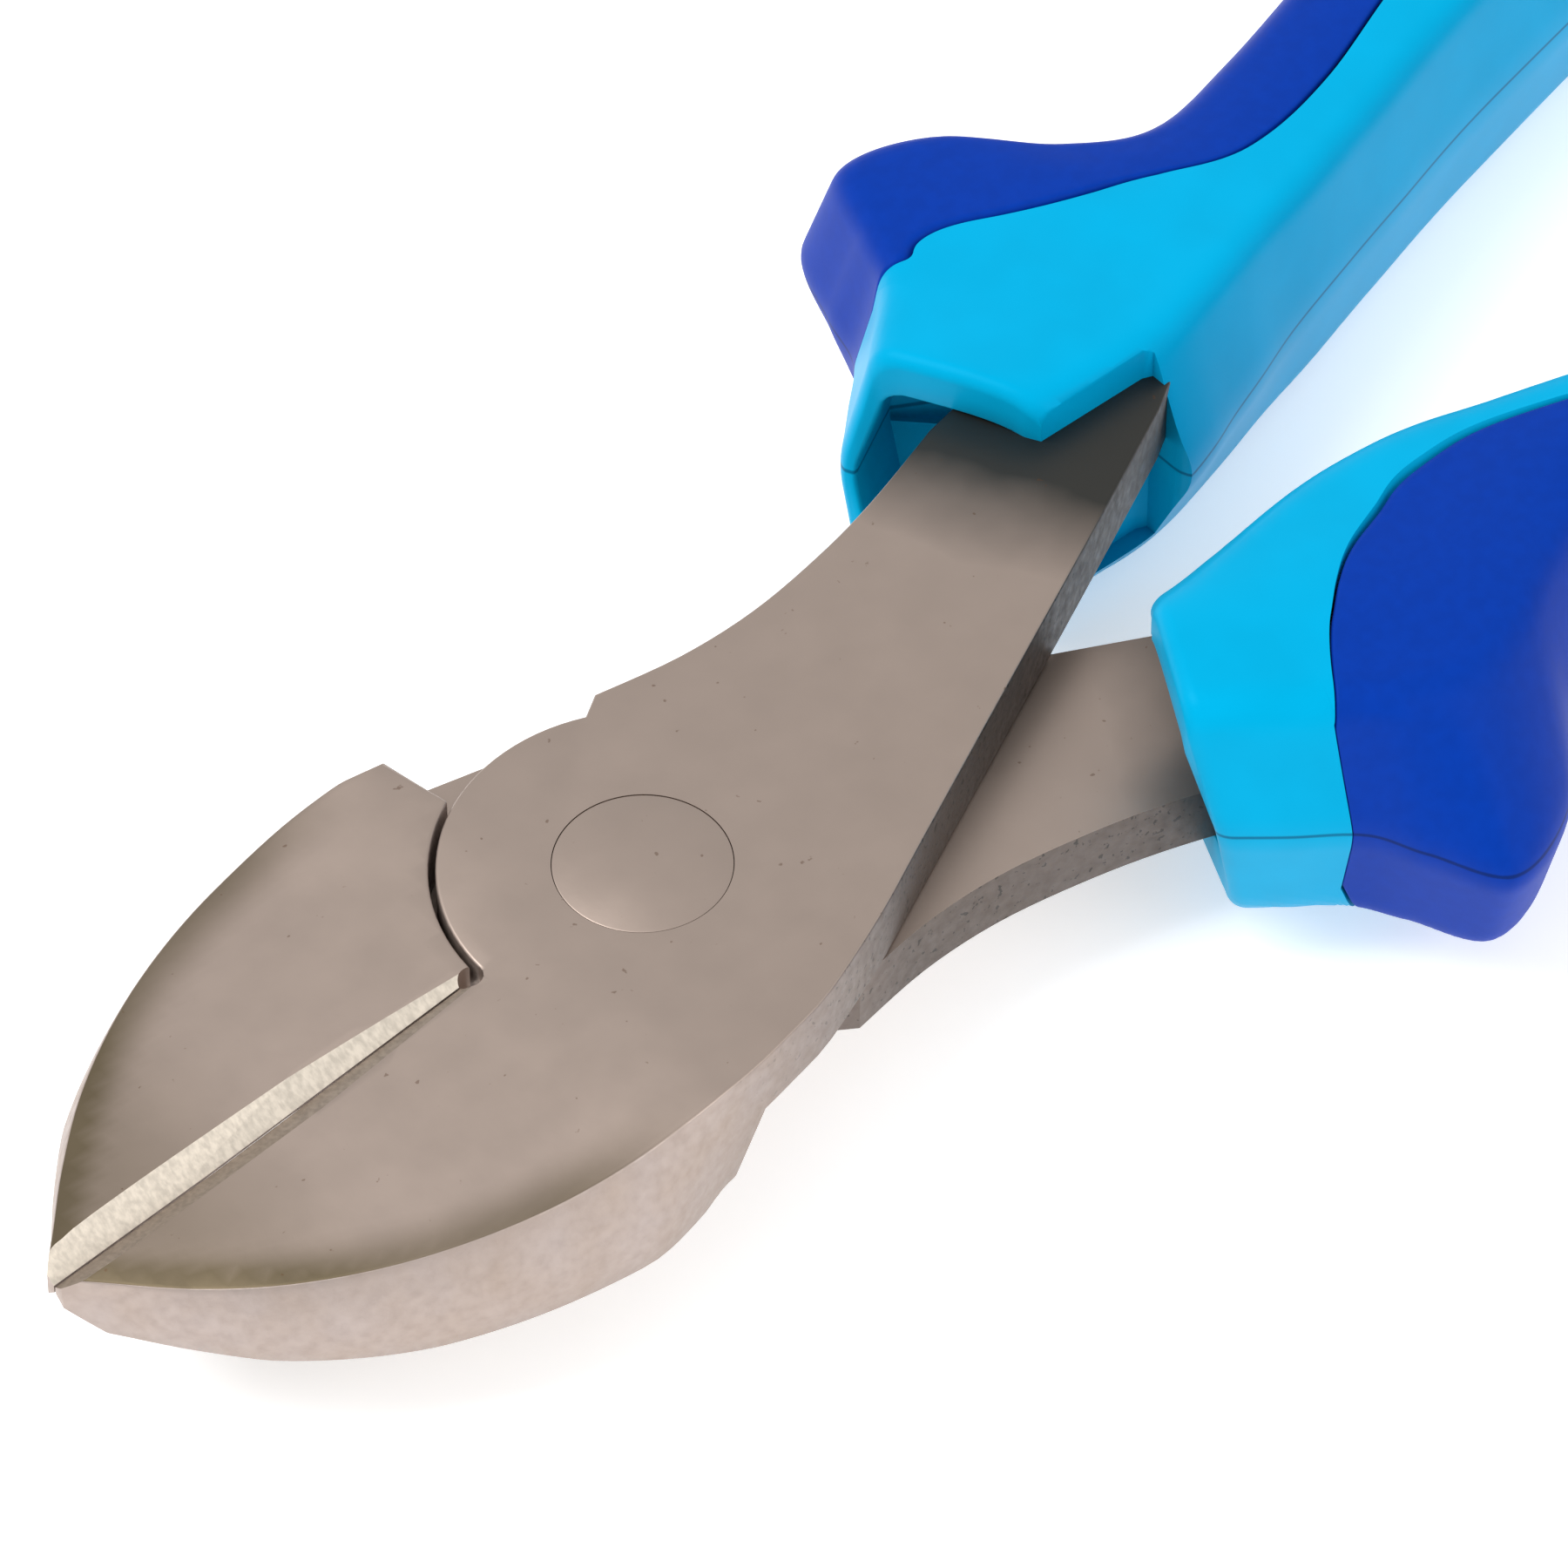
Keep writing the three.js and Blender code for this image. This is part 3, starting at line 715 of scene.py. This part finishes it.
def socket_point(place, turn, span, lean, clearance=0.4):
    """A point on the hollow that holds the tang."""
    inner, outer = station_at(place, lean)[:2]
    length = (outer - inner).length
    low = inner.lerp(outer, span[0] - clearance / length)
    high = inner.lerp(outer, span[1] + clearance / length)
    squareness = 0.4
    angle = math.tau * turn
    across = math.copysign(abs(math.cos(angle)) ** squareness, math.cos(angle))
    height = math.copysign(abs(math.sin(angle)) ** squareness, math.sin(angle))
    plan = (low + high) / 2 + (high - low) / 2 * across
    return Vector((plan.x, plan.y, TANG_MIDDLE + height * (TANG_HALF + clearance)))


def core_rows(settings):
    """Rows of points over the core: out of its hollow, round its mouth, then along its skin."""
    starts = [mouth_place(column, settings) for column in range(sum(CORE_COLUMNS) + 2)]
    pad_start = PAD_FIRST_STATION - 0.01
    pad_end = PAD_LAST_STATION + 0.01

    def turn_of(column, place):
        return column_turns(place, settings)[column]

    def mouth_row(inset, lip, shift=0.0, ahead=0.0):
        move = Vector((*along_collar(shift), 0))
        return [section(place + ahead, settings).point(turn_of(column, place), inset, lip) + move
                for column, place in enumerate(starts)]

    def lead_row(t):
        row = []
        for column, start in enumerate(starts):
            turn = turn_of(column, lerp(start, pad_start, t))
            place = lerp(start + 0.26, slanted(pad_start, turn), t)
            row.append(section(place, settings).point(turn))
        return row

    def skin_row(place, covered):
        row = []
        for column, turn in enumerate(column_turns(place, settings)):
            hidden = covered and column <= CORE_COLUMNS[0]
            inset = settings.pad_thickness + settings.pad_gap if hidden else 0.0
            row.append(section(slanted(place, turn), settings).point(turn, inset))
        return row

    rows = []
    for place in (10.0, 9.0, 8.0, 7.0, 6.0, 5.0, 4.2):
        span = tang_span(place, settings.lean)
        rows.append([socket_point(place, turn, span, settings.lean)
                     for turn in column_turns(place, settings)])
    rows += [mouth_row(settings.wall, settings.mouth_lip, shift) for shift in (4.5, 3.0, 1.5, 0.25)]
    rows += [mouth_row(0.82, 2.34, 0.05), mouth_row(0.7, 2.2), mouth_row(0.5, 1.4)]
    rounding, rim_steps = 0.7, 8
    for step in range(rim_steps + 1):
        angle = math.pi / 2 * step / rim_steps
        inset = rounding * (1 - math.sin(angle))
        rows.append(mouth_row(inset * 0.6, inset, ahead=0.22 * (1 - math.cos(angle))))
    rows += [lead_row(step / 12) for step in range(1, 13)]
    inner = [pad_place(eased(step / PAD_ROWS, *PAD_END_PACKING)) for step in range(1, PAD_ROWS)]
    rows += [skin_row(place, True) for place in (pad_start + 0.003, *inner, pad_end - 0.003)]
    rows += [skin_row(lerp(pad_end, LAST_STATION, step / 15), False) for step in range(16)]
    return rows


def skin_from_rows(rows):
    """A closed mesh over rows of points, each row running once round."""
    columns = len(rows[0])
    bm = bmesh.new()
    bmesh.ops.create_grid(bm, x_segments=len(rows) - 1, y_segments=columns, size=0.5)
    for vertex in bm.verts:
        row = round((vertex.co.x + 0.5) * (len(rows) - 1))
        column = round((vertex.co.y + 0.5) * columns) % columns
        vertex.co = rows[row][column]
    bmesh.ops.remove_doubles(bm, verts=bm.verts, dist=1e-4)
    open_edges = [edge for edge in bm.edges if edge.is_boundary]
    bmesh.ops.holes_fill(bm, edges=open_edges, sides=0)
    bmesh.ops.recalc_face_normals(bm, faces=bm.faces)
    return bm


def quarter_turn(radius, steps):
    """Points (along, across) on a quarter of a circle, from straight ahead to sideways."""
    angles = [math.pi / 2 * step / steps for step in range(steps + 1)]
    return [(radius * math.sin(angle), radius * (1 - math.cos(angle))) for angle in angles]


def opening_cutter(material):
    """Clears the inner wall of the collar round the shank, with rounded rims."""
    floor, front, top = -6.6, 5.62, 20.0
    rim, corner_radius = 0.7, 1.5
    left, right, low_y, high_y = 20.0, 37.9, -8.0, 7.75
    corner_x, corner_y, mouth_x = 36.4, 5.9, 30.2
    levels = [(floor, 0.0)]
    levels += [(front - rim + rise, flare) for rise, flare in quarter_turn(rim, 6)]
    levels.append((top, rim))
    corner = [(corner_x + across, corner_y - along)
              for along, across in quarter_turn(corner_radius, 6)]
    bm = bmesh.new()
    rows = []
    for z, flare in levels:
        plan = [(left, low_y), (right, low_y)]
        plan += [(x + flare * 0.6, y) for x, y in reversed(corner)]
        plan += [(corner_x, high_y - 0.2 + flare), (corner_x - 0.5, high_y + flare),
                 (mouth_x, high_y + flare), (left, high_y + flare)]
        rows.append([bm.verts.new((x, y, z)) for x, y in plan])
    for lower, upper in zip(rows, rows[1:]):
        for index in range(len(lower)):
            following = (index + 1) % len(lower)
            bm.faces.new((lower[index], lower[following], upper[following], upper[index]))
    bm.faces.new(rows[0][::-1])
    bm.faces.new(rows[-1])
    bmesh.ops.recalc_face_normals(bm, faces=bm.faces)
    return to_object(bm, "opening_cutter", material)


def mould_core(settings, material):
    """The hard core of the front grip, in millimetres."""
    core = to_object(skin_from_rows(core_rows(settings)), "core_moulding", material)
    carve(core, opening_cutter(material))
    return core


def mould_pad(settings, material):
    """The soft pad: a net over its span of the skin, thickened inwards."""
    bm = bmesh.new()
    bmesh.ops.create_grid(bm, x_segments=PAD_ROWS, y_segments=PAD_COLUMNS, size=0.5)
    raise_faces(bm, list(bm.faces), 1.0)
    for vertex in bm.verts:
        along = round((vertex.co.x + 0.5) * PAD_ROWS) / PAD_ROWS
        across = round((vertex.co.y + 0.5) * PAD_COLUMNS) / PAD_COLUMNS
        vertex.co = pad_point(along, across, vertex.co.z > 0.5, settings)
    bmesh.ops.recalc_face_normals(bm, faces=bm.faces)
    return to_object(bm, "pad_moulding", material)


def set_on_lever(moulding, rear, settings, lift):
    """Sets a moulding in its place on one lever."""
    note_values(moulding, "parting", lambda point: point.z - settings.middle)
    place_piece(moulding, rear, lift, along_collar(-settings.rear_shift) if rear else (0, 0))


def edge_fall(distance, radius=0.3):
    """How far the pad's skin drops near its border, as a round shoulder."""
    short = clamp(radius - distance, 0, radius)
    return radius - math.sqrt(max(0.0, radius ** 2 - short ** 2))


def eased(t, shoulder=0.02, share=0.06):
    """Packs some of an evenly spaced span's steps close to its two ends."""
    if t < share:
        return shoulder * t / share
    if t > 1 - share:
        return 1 - shoulder * (1 - t) / share
    return lerp(shoulder, 1 - shoulder, (t - share) / (1 - 2 * share))


def pad_point(along, across, outside, settings):
    """A point on the pad's skin or on its inside, at parts of its length and of its span."""
    length, girth = 140.0, 46.0
    run = eased(along, *PAD_END_PACKING)
    place = pad_place(run)
    front, rear = section(place, settings).borders
    part = eased(across)
    turn = lerp(rear, front, part)
    width = (front - rear) * girth
    edge = min(run * length, (1 - run) * length, part * width, (1 - part) * width)
    inset = edge_fall(edge) if outside else settings.pad_thickness
    return section(slanted(place, turn), settings).point(turn, inset)


# ---------------------------------------------------------------- materials

def new_material(name):
    material = bpy.data.materials.new(name)
    material.use_nodes = True
    nodes = material.node_tree.nodes
    nodes.clear()
    output = nodes.new("ShaderNodeOutputMaterial")
    shader = nodes.new("ShaderNodeBsdfPrincipled")
    material.node_tree.links.new(shader.outputs["BSDF"], output.inputs["Surface"])
    return material, material.node_tree, shader


def set_inputs(tree, node, **values):
    """Sets or links a node's inputs, with underscores for the spaces in their names."""
    for name, value in values.items():
        socket = node.inputs[name.replace("_", " ")]
        if isinstance(value, bpy.types.NodeSocket):
            tree.links.new(value, socket)
        else:
            socket.default_value = value


def ramp_between(tree, source, low, high, start=0.0, end=1.0):
    """Maps a value from one range to another."""
    node = tree.nodes.new("ShaderNodeMapRange")
    set_inputs(tree, node, Value=source, From_Min=start, From_Max=end, To_Min=low, To_Max=high)
    return node.outputs["Result"]


def mix_colors(tree, factor, first, second):
    node = tree.nodes.new("ShaderNodeMix")
    node.data_type = "RGBA"
    set_inputs(tree, node, Factor=factor, A=first, B=second)
    return node.outputs["Result"]


def blend_by_noise(tree, noise, dark, light, low=0.35, high=0.65):
    """Runs from one colour to another over the middle of a noise's range."""
    return mix_colors(tree, ramp_between(tree, noise, 0.0, 1.0, low, high), dark, light)


def bump(tree, height, strength, distance):
    node = tree.nodes.new("ShaderNodeBump")
    set_inputs(tree, node, Height=height, Strength=strength, Distance=distance)
    return node.outputs["Normal"]


def rgba(shade, red=1.0, green=None, blue=None):
    """A colour with its channels scaled, all by the same factor unless more are given."""
    factors = (red, red if green is None else green, red if blue is None else blue)
    return (*(channel * factor for channel, factor in zip(shade, factors)), 1.0)


def attribute_value(tree, name):
    node = tree.nodes.new("ShaderNodeAttribute")
    node.attribute_name = name
    return node.outputs["Fac"]


def math_node(tree, operation, first, second=0.0):
    node = tree.nodes.new("ShaderNodeMath")
    node.operation = operation
    tree.links.new(first, node.inputs[0])
    if isinstance(second, bpy.types.NodeSocket):
        tree.links.new(second, node.inputs[1])
    else:
        node.inputs[1].default_value = second
    return node.outputs["Value"]


def object_axes(tree):
    """The object's own coordinates, one output each."""
    coordinates = tree.nodes.new("ShaderNodeTexCoord")
    axes = tree.nodes.new("ShaderNodeSeparateXYZ")
    set_inputs(tree, axes, Vector=coordinates.outputs["Object"])
    return axes.outputs


def grain_nodes(tree, given):
    """Noise on the object's own coordinates, stretched and turned."""
    coordinates = tree.nodes.new("ShaderNodeTexCoord")
    mapping = tree.nodes.new("ShaderNodeMapping")
    set_inputs(tree, mapping, Vector=coordinates.outputs["Object"], Scale=given["Stretch"],
               Rotation=given["Turn"])
    noise = tree.nodes.new("ShaderNodeTexNoise")
    set_inputs(tree, noise, Vector=mapping.outputs["Vector"], Scale=given["Scale"],
               Detail=given["Detail"])
    return noise.outputs["Fac"]


def speck_nodes(tree, given):
    """Sparse dots, at full strength inside and 0 outside."""
    noise = place_effect(tree, "Grain", Scale=given["Scale"], Detail=2.0)
    end = math_node(tree, "ADD", given["Threshold"], 0.03)
    return ramp_between(tree, noise, 0.0, given["Strength"], given["Threshold"], end)


def collar_shade_nodes(tree, given):
    """A mask of painted shade over the shanks that grows towards the collars, which shade them."""
    axes = object_axes(tree)
    ahead = math_node(tree, "MULTIPLY", axes["X"], math.cos(COLLAR_ANGLE))
    sideways = math_node(tree, "MULTIPLY", math_node(tree, "ABSOLUTE", axes["Y"]),
                         math.sin(COLLAR_ANGLE))
    along = math_node(tree, "ADD", ahead, sideways)
    noise = place_effect(tree, "Grain", Scale=150.0, Detail=3.0)
    uneven = math_node(tree, "ADD", along, ramp_between(tree, noise, -0.0015, 0.0015))
    return ramp_between(tree, uneven, 0.0, given["Strength"], 0.0222, 0.0275)


def seam_nodes(tree, given):
    """A thin line round the middle of a grip, where its mould parts."""
    height = math_node(tree, "ABSOLUTE", attribute_value(tree, "parting"))
    return ramp_between(tree, height, given["Strength"], 0.0, 0.05, 0.13)


# The effects that several materials share: their inputs and what fills their node groups.
EFFECTS = {
    "Grain": ({"Scale": 1.0, "Detail": 4.0, "Stretch": (1.0, 1.0, 1.0),
               "Turn": (0.0, 0.0, 0.0)}, grain_nodes),
    "Specks": ({"Scale": 1.0, "Threshold": 0.7, "Strength": 1.0}, speck_nodes),
    # painted shade on the shanks by the collars
    "Collar painted shade": ({"Strength": 1.0}, collar_shade_nodes),
    "Mould seam": ({"Strength": 1.0}, seam_nodes),
}


def effect_group(name):
    """The node group of an effect, built the first time that it is asked for."""
    if name in bpy.data.node_groups:
        return bpy.data.node_groups[name]
    inputs, fill = EFFECTS[name]
    group = bpy.data.node_groups.new(name, "ShaderNodeTree")
    for label, default in inputs.items():
        kind = "NodeSocketVector" if isinstance(default, tuple) else "NodeSocketFloat"
        socket = group.interface.new_socket(label, in_out="INPUT", socket_type=kind)
        socket.default_value = default
    group.interface.new_socket("Value", in_out="OUTPUT", socket_type="NodeSocketFloat")
    given = group.nodes.new("NodeGroupInput").outputs
    result = group.nodes.new("NodeGroupOutput").inputs["Value"]
    group.links.new(fill(group, given), result)
    return group


def place_effect(tree, name, **values):
    """Places an effect in a material or in another effect, with its own values."""
    node = tree.nodes.new("ShaderNodeGroup")
    node.node_tree = effect_group(name)
    set_inputs(tree, node, **values)
    return node.outputs["Value"]


def nickel_material(plate):
    """Satin nickel plate over forged steel, with painted shade at the jaw's edge and by the
    collars.
    """
    material, tree, shader = new_material("satin_nickel")
    mottle = place_effect(tree, "Grain", Scale=420.0, Detail=6.0)
    grain = place_effect(tree, "Grain", Scale=2600.0, Detail=2.0)
    base = blend_by_noise(tree, mottle, rgba(plate, 0.96), rgba(plate), 0.3, 0.7)
    # painted shade: the jaw's face darkens along its outer edge and towards its tip
    base = mix_colors(tree, attribute_value(tree, "shade"), base, rgba(plate, 0.34, 0.33, 0.24))
    # painted shade: the shanks darken towards the collars, where the collars shade them
    painted_collar_shade = place_effect(tree, "Collar painted shade", Strength=0.94)
    base = mix_colors(tree, painted_collar_shade, base, (0.03, 0.034, 0.032, 1.0))
    rust = place_effect(tree, "Specks", Scale=1900.0, Threshold=0.74, Strength=0.5)
    base = mix_colors(tree, rust, base, (0.12, 0.06, 0.03, 1.0))
    set_inputs(tree, shader, Base_Color=base, Metallic=0.9,
               Roughness=ramp_between(tree, mottle, 0.39, 0.43, 0.3, 0.7),
               Normal=bump(tree, grain, 0.12, 0.00002))
    return material


def wall_material(plate):
    """The blasted side walls of the forging: pale at the jaw, dark and pitted at the shank."""
    material, tree, shader = new_material("forged_wall")
    grain = place_effect(tree, "Grain", Scale=1900.0, Detail=4.0)
    coarse = place_effect(tree, "Grain", Scale=320.0, Detail=5.0)
    base = blend_by_noise(tree, coarse, rgba(plate, 0.9), rgba(plate, 0.95, 0.99, 1.06), 0.3, 0.7)
    toward_shank = ramp_between(tree, object_axes(tree)["X"], 0.0, 0.85, -0.006, 0.008)
    base = mix_colors(tree, toward_shank, base, rgba(plate, 0.2))
    pits = place_effect(tree, "Specks", Scale=3200.0, Threshold=0.64, Strength=toward_shank)
    base = mix_colors(tree, pits, base, (0.05, 0.045, 0.04, 1.0))
    # painted shade on the walls by the collars, as on the nickel
    painted_collar_shade = place_effect(tree, "Collar painted shade", Strength=0.7)
    base = mix_colors(tree, painted_collar_shade, base, rgba(plate, 0.2))
    set_inputs(tree, shader, Base_Color=base, Metallic=0.8,
               Roughness=ramp_between(tree, grain, 0.38, 0.6, 0.3, 0.7),
               Normal=bump(tree, grain, 0.35, 0.00006))
    return material


def ground_material(name, steel):
    """Freshly ground steel with fine slanted grinding lines."""
    material, tree, shader = new_material(name)
    lines = place_effect(tree, "Grain", Scale=4500.0, Detail=3.0, Stretch=(1.0, 0.05, 1.0),
                         Turn=(0.0, 0.0, math.radians(28)))
    base = blend_by_noise(tree, lines, rgba(steel, 0.78), rgba(steel))
    set_inputs(tree, shader, Base_Color=base, Metallic=0.85, Roughness=0.55,
               Normal=bump(tree, lines, 0.4, 0.00003))
    return material


def parting_line(tree, base, darkening):
    """Darkens a colour along the seam that the mould leaves round the middle of a grip."""
    line = place_effect(tree, "Mould seam", Strength=darkening)
    return mix_colors(tree, line, base, (0.0, 0.01, 0.06, 1.0))


def hard_material(plastic):
    """Semi-gloss hard moulded plastic."""
    material, tree, shader = new_material("hard_moulding")
    ripple = place_effect(tree, "Grain", Scale=260.0, Detail=2.0)
    base = blend_by_noise(tree, ripple, rgba(plastic, 0.95), rgba(plastic))
    set_inputs(tree, shader, Base_Color=parting_line(tree, base, 0.6), Roughness=0.36, IOR=1.25,
               Specular_IOR_Level=0.3, Specular_Tint=(0.15, 0.75, 1.0, 1.0),
               Normal=bump(tree, ripple, 0.08, 0.0001))
    return material


def soft_material(plastic):
    """Satin soft-touch moulding with a violet sheen."""
    material, tree, shader = new_material("soft_moulding")
    grain = place_effect(tree, "Grain", Scale=1500.0, Detail=3.0)
    base = blend_by_noise(tree, grain, rgba(plastic, 0.92), rgba(plastic))
    set_inputs(tree, shader, Base_Color=parting_line(tree, base, 0.7), Roughness=0.5, IOR=1.25,
               Specular_IOR_Level=0.35, Specular_Tint=(0.4, 0.45, 1.0, 1.0),
               Sheen_Weight=0.06, Sheen_Roughness=0.4, Sheen_Tint=(0.45, 0.4, 1.0, 1.0),
               Normal=bump(tree, grain, 0.1, 0.00003))
    return material


# ---------------------------------------------------------------- operators

class PLIERS_OT_levers(bpy.types.Operator):
    """Forge the two lapped levers"""
    bl_idname = "pliers.levers"
    bl_label = "Levers"

    def execute(self, context):
        size = context.scene.pliers_lever
        nickel = nickel_material(size.nickel_color)
        # one ground steel in two copies: painted lit for the rear jaw's bevel, in painted shade for
        # the front jaw's bevel
        lit_ground = ground_material("ground_steel", size.ground_color)
        shaded_ground = ground_material("shaded_ground_steel", size.shaded_bevel_color)
        wall = wall_material(size.nickel_color)
        for name, rear, body, ground in (("front_lever", False, "front_half", shaded_ground),
                                         ("rear_lever", True, "rear_half", lit_ground)):
            lever = build_lever(name + "_fine", rear, size, nickel, ground, wall)
            finish_piece(lever, body, [name])
        return {"FINISHED"}


class PLIERS_OT_rivet(bpy.types.Operator):
    """Turn the flush rivet"""
    bl_idname = "pliers.rivet"
    bl_label = "Rivet"

    def execute(self, context):
        size = context.scene.pliers_lever
        rivet = build_rivet(size, bpy.data.materials["satin_nickel"])
        finish_piece(rivet, "rear_half", ["pivot_rivet"])
        return {"FINISHED"}


class PLIERS_OT_grips(bpy.types.Operator):
    """Mould the hard cores and soft pads of both grips"""
    bl_idname = "pliers.grips"
    bl_label = "Grips"

    def execute(self, context):
        settings = context.scene.pliers_grip
        lift = context.scene.pliers_lever.half_thickness
        hard = hard_material(settings.hard_color)
        soft = soft_material(settings.soft_color)
        for side, rear, lean in (("front", False, 0.0), ("rear", True, settings.rear_lean)):
            settings.lean = lean
            mouldings = (("core", mould_core(settings, hard), "grip_hard"),
                         ("pad", mould_pad(settings, soft), "grip_soft"))
            for kind, moulding, slot in mouldings:
                node = side + "_grip_" + kind
                moulding.name = node + "_fine"
                set_on_lever(moulding, rear, settings, lift)
                finish_piece(moulding, side + "_half", [node], sharp_degrees=48)
        return {"FINISHED"}


class PLIERS_OT_stage(bpy.types.Operator):
    """Set the floor, the studio lights and the camera"""
    bl_idname = "pliers.stage"
    bl_label = "Stage"

    def execute(self, context):
        settings = context.scene.pliers_stage
        lay_floor(settings)
        set_camera(context.scene, settings)
        set_lights(context.scene)
        context.scene.view_settings.view_transform = "Standard"
        return {"FINISHED"}


def lay_floor(settings):
    bm = bmesh.new()
    bmesh.ops.create_grid(bm, x_segments=8, y_segments=8, size=3.0)
    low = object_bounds()[0][2]
    bmesh.ops.translate(bm, verts=bm.verts, vec=(0, 0, low - 0.0002))
    material, tree, shader = new_material("pale_floor")
    set_inputs(tree, shader, Base_Color=rgba(settings.floor_color), Roughness=0.9,
               Specular_IOR_Level=0.1, Emission_Color=(1.0, 1.0, 1.0, 1.0),
               Emission_Strength=0.4)
    to_object(bm, "floor", material)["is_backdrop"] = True


def set_camera(scene, settings):
    azimuth, elevation, roll = settings.azimuth, settings.elevation, settings.roll
    back = Vector((math.sin(azimuth) * math.cos(elevation),
                   -math.cos(azimuth) * math.cos(elevation), math.sin(elevation)))
    level_right = Vector((0, 0, 1)).cross(back).normalized()
    level_up = back.cross(level_right)
    right = math.cos(roll) * level_right + math.sin(roll) * level_up
    up = -math.sin(roll) * level_right + math.cos(roll) * level_up
    data = bpy.data.cameras.new("camera")
    data.lens = settings.lens
    data.sensor_width = 36.0
    data.clip_start = 0.01
    camera = bpy.data.objects.new("camera", data)
    turn = Matrix((right, up, back)).transposed().to_4x4()
    place = Vector(settings.target) + back * settings.distance
    camera.matrix_world = Matrix.Translation(place) @ turn
    scene.collection.objects.link(camera)
    scene.camera = camera


def add_area_light(scene, name, place, aim, size, energy):
    data = bpy.data.lights.new(name, "AREA")
    data.shape = "RECTANGLE"
    data.size, data.size_y = size
    data.energy = energy
    light = bpy.data.objects.new(name, data)
    direction = Vector(aim) - Vector(place)
    turn = direction.to_track_quat("-Z", "Y").to_matrix().to_4x4()
    light.matrix_world = Matrix.Translation(place) @ turn
    scene.collection.objects.link(light)


def set_lights(scene):
    world = bpy.data.worlds.new("studio")
    world.use_nodes = True
    background = world.node_tree.nodes["Background"]
    set_inputs(world.node_tree, background, Color=(1.0, 1.0, 1.0, 1.0), Strength=0.75)
    scene.world = world
    add_area_light(scene, "key", (-0.5, 0.3, 0.9), (0.03, 0, 0), (0.6, 0.6), 9.0)
    add_area_light(scene, "fill", (0.3, -0.9, 0.6), (0.03, 0, 0), (0.7, 0.7), 4.0)


# ---------------------------------------------------------------- panel and registration

class PLIERS_PT_panel(bpy.types.Panel):
    """Buttons for every piece of the side cutters"""
    bl_idname = "PLIERS_PT_panel"
    bl_label = "Side Cutters"
    bl_space_type = "VIEW_3D"
    bl_region_type = "UI"
    bl_category = "Side Cutters"

    def draw(self, context):
        for operator in OPERATORS:
            self.layout.operator(operator.bl_idname)


SETTINGS = (
    ("pliers_lever", LeverSettings), ("pliers_grip", GripSettings), ("pliers_stage", StageSettings),
)
OPERATORS = (PLIERS_OT_levers, PLIERS_OT_rivet, PLIERS_OT_grips, PLIERS_OT_stage)


def register():
    for name, group in SETTINGS:
        bpy.utils.register_class(group)
        setattr(bpy.types.Scene, name, bpy.props.PointerProperty(type=group))
    for operator in OPERATORS:
        bpy.utils.register_class(operator)
    bpy.utils.register_class(PLIERS_PT_panel)


def unregister():
    bpy.utils.unregister_class(PLIERS_PT_panel)
    for operator in reversed(OPERATORS):
        bpy.utils.unregister_class(operator)
    for name, group in reversed(SETTINGS):
        delattr(bpy.types.Scene, name)
        bpy.utils.unregister_class(group)


def main():
    register()
    bpy.ops.pliers.levers()
    bpy.ops.pliers.rivet()
    bpy.ops.pliers.grips()
    bpy.ops.pliers.stage()


if __name__ == "__main__":
    main()
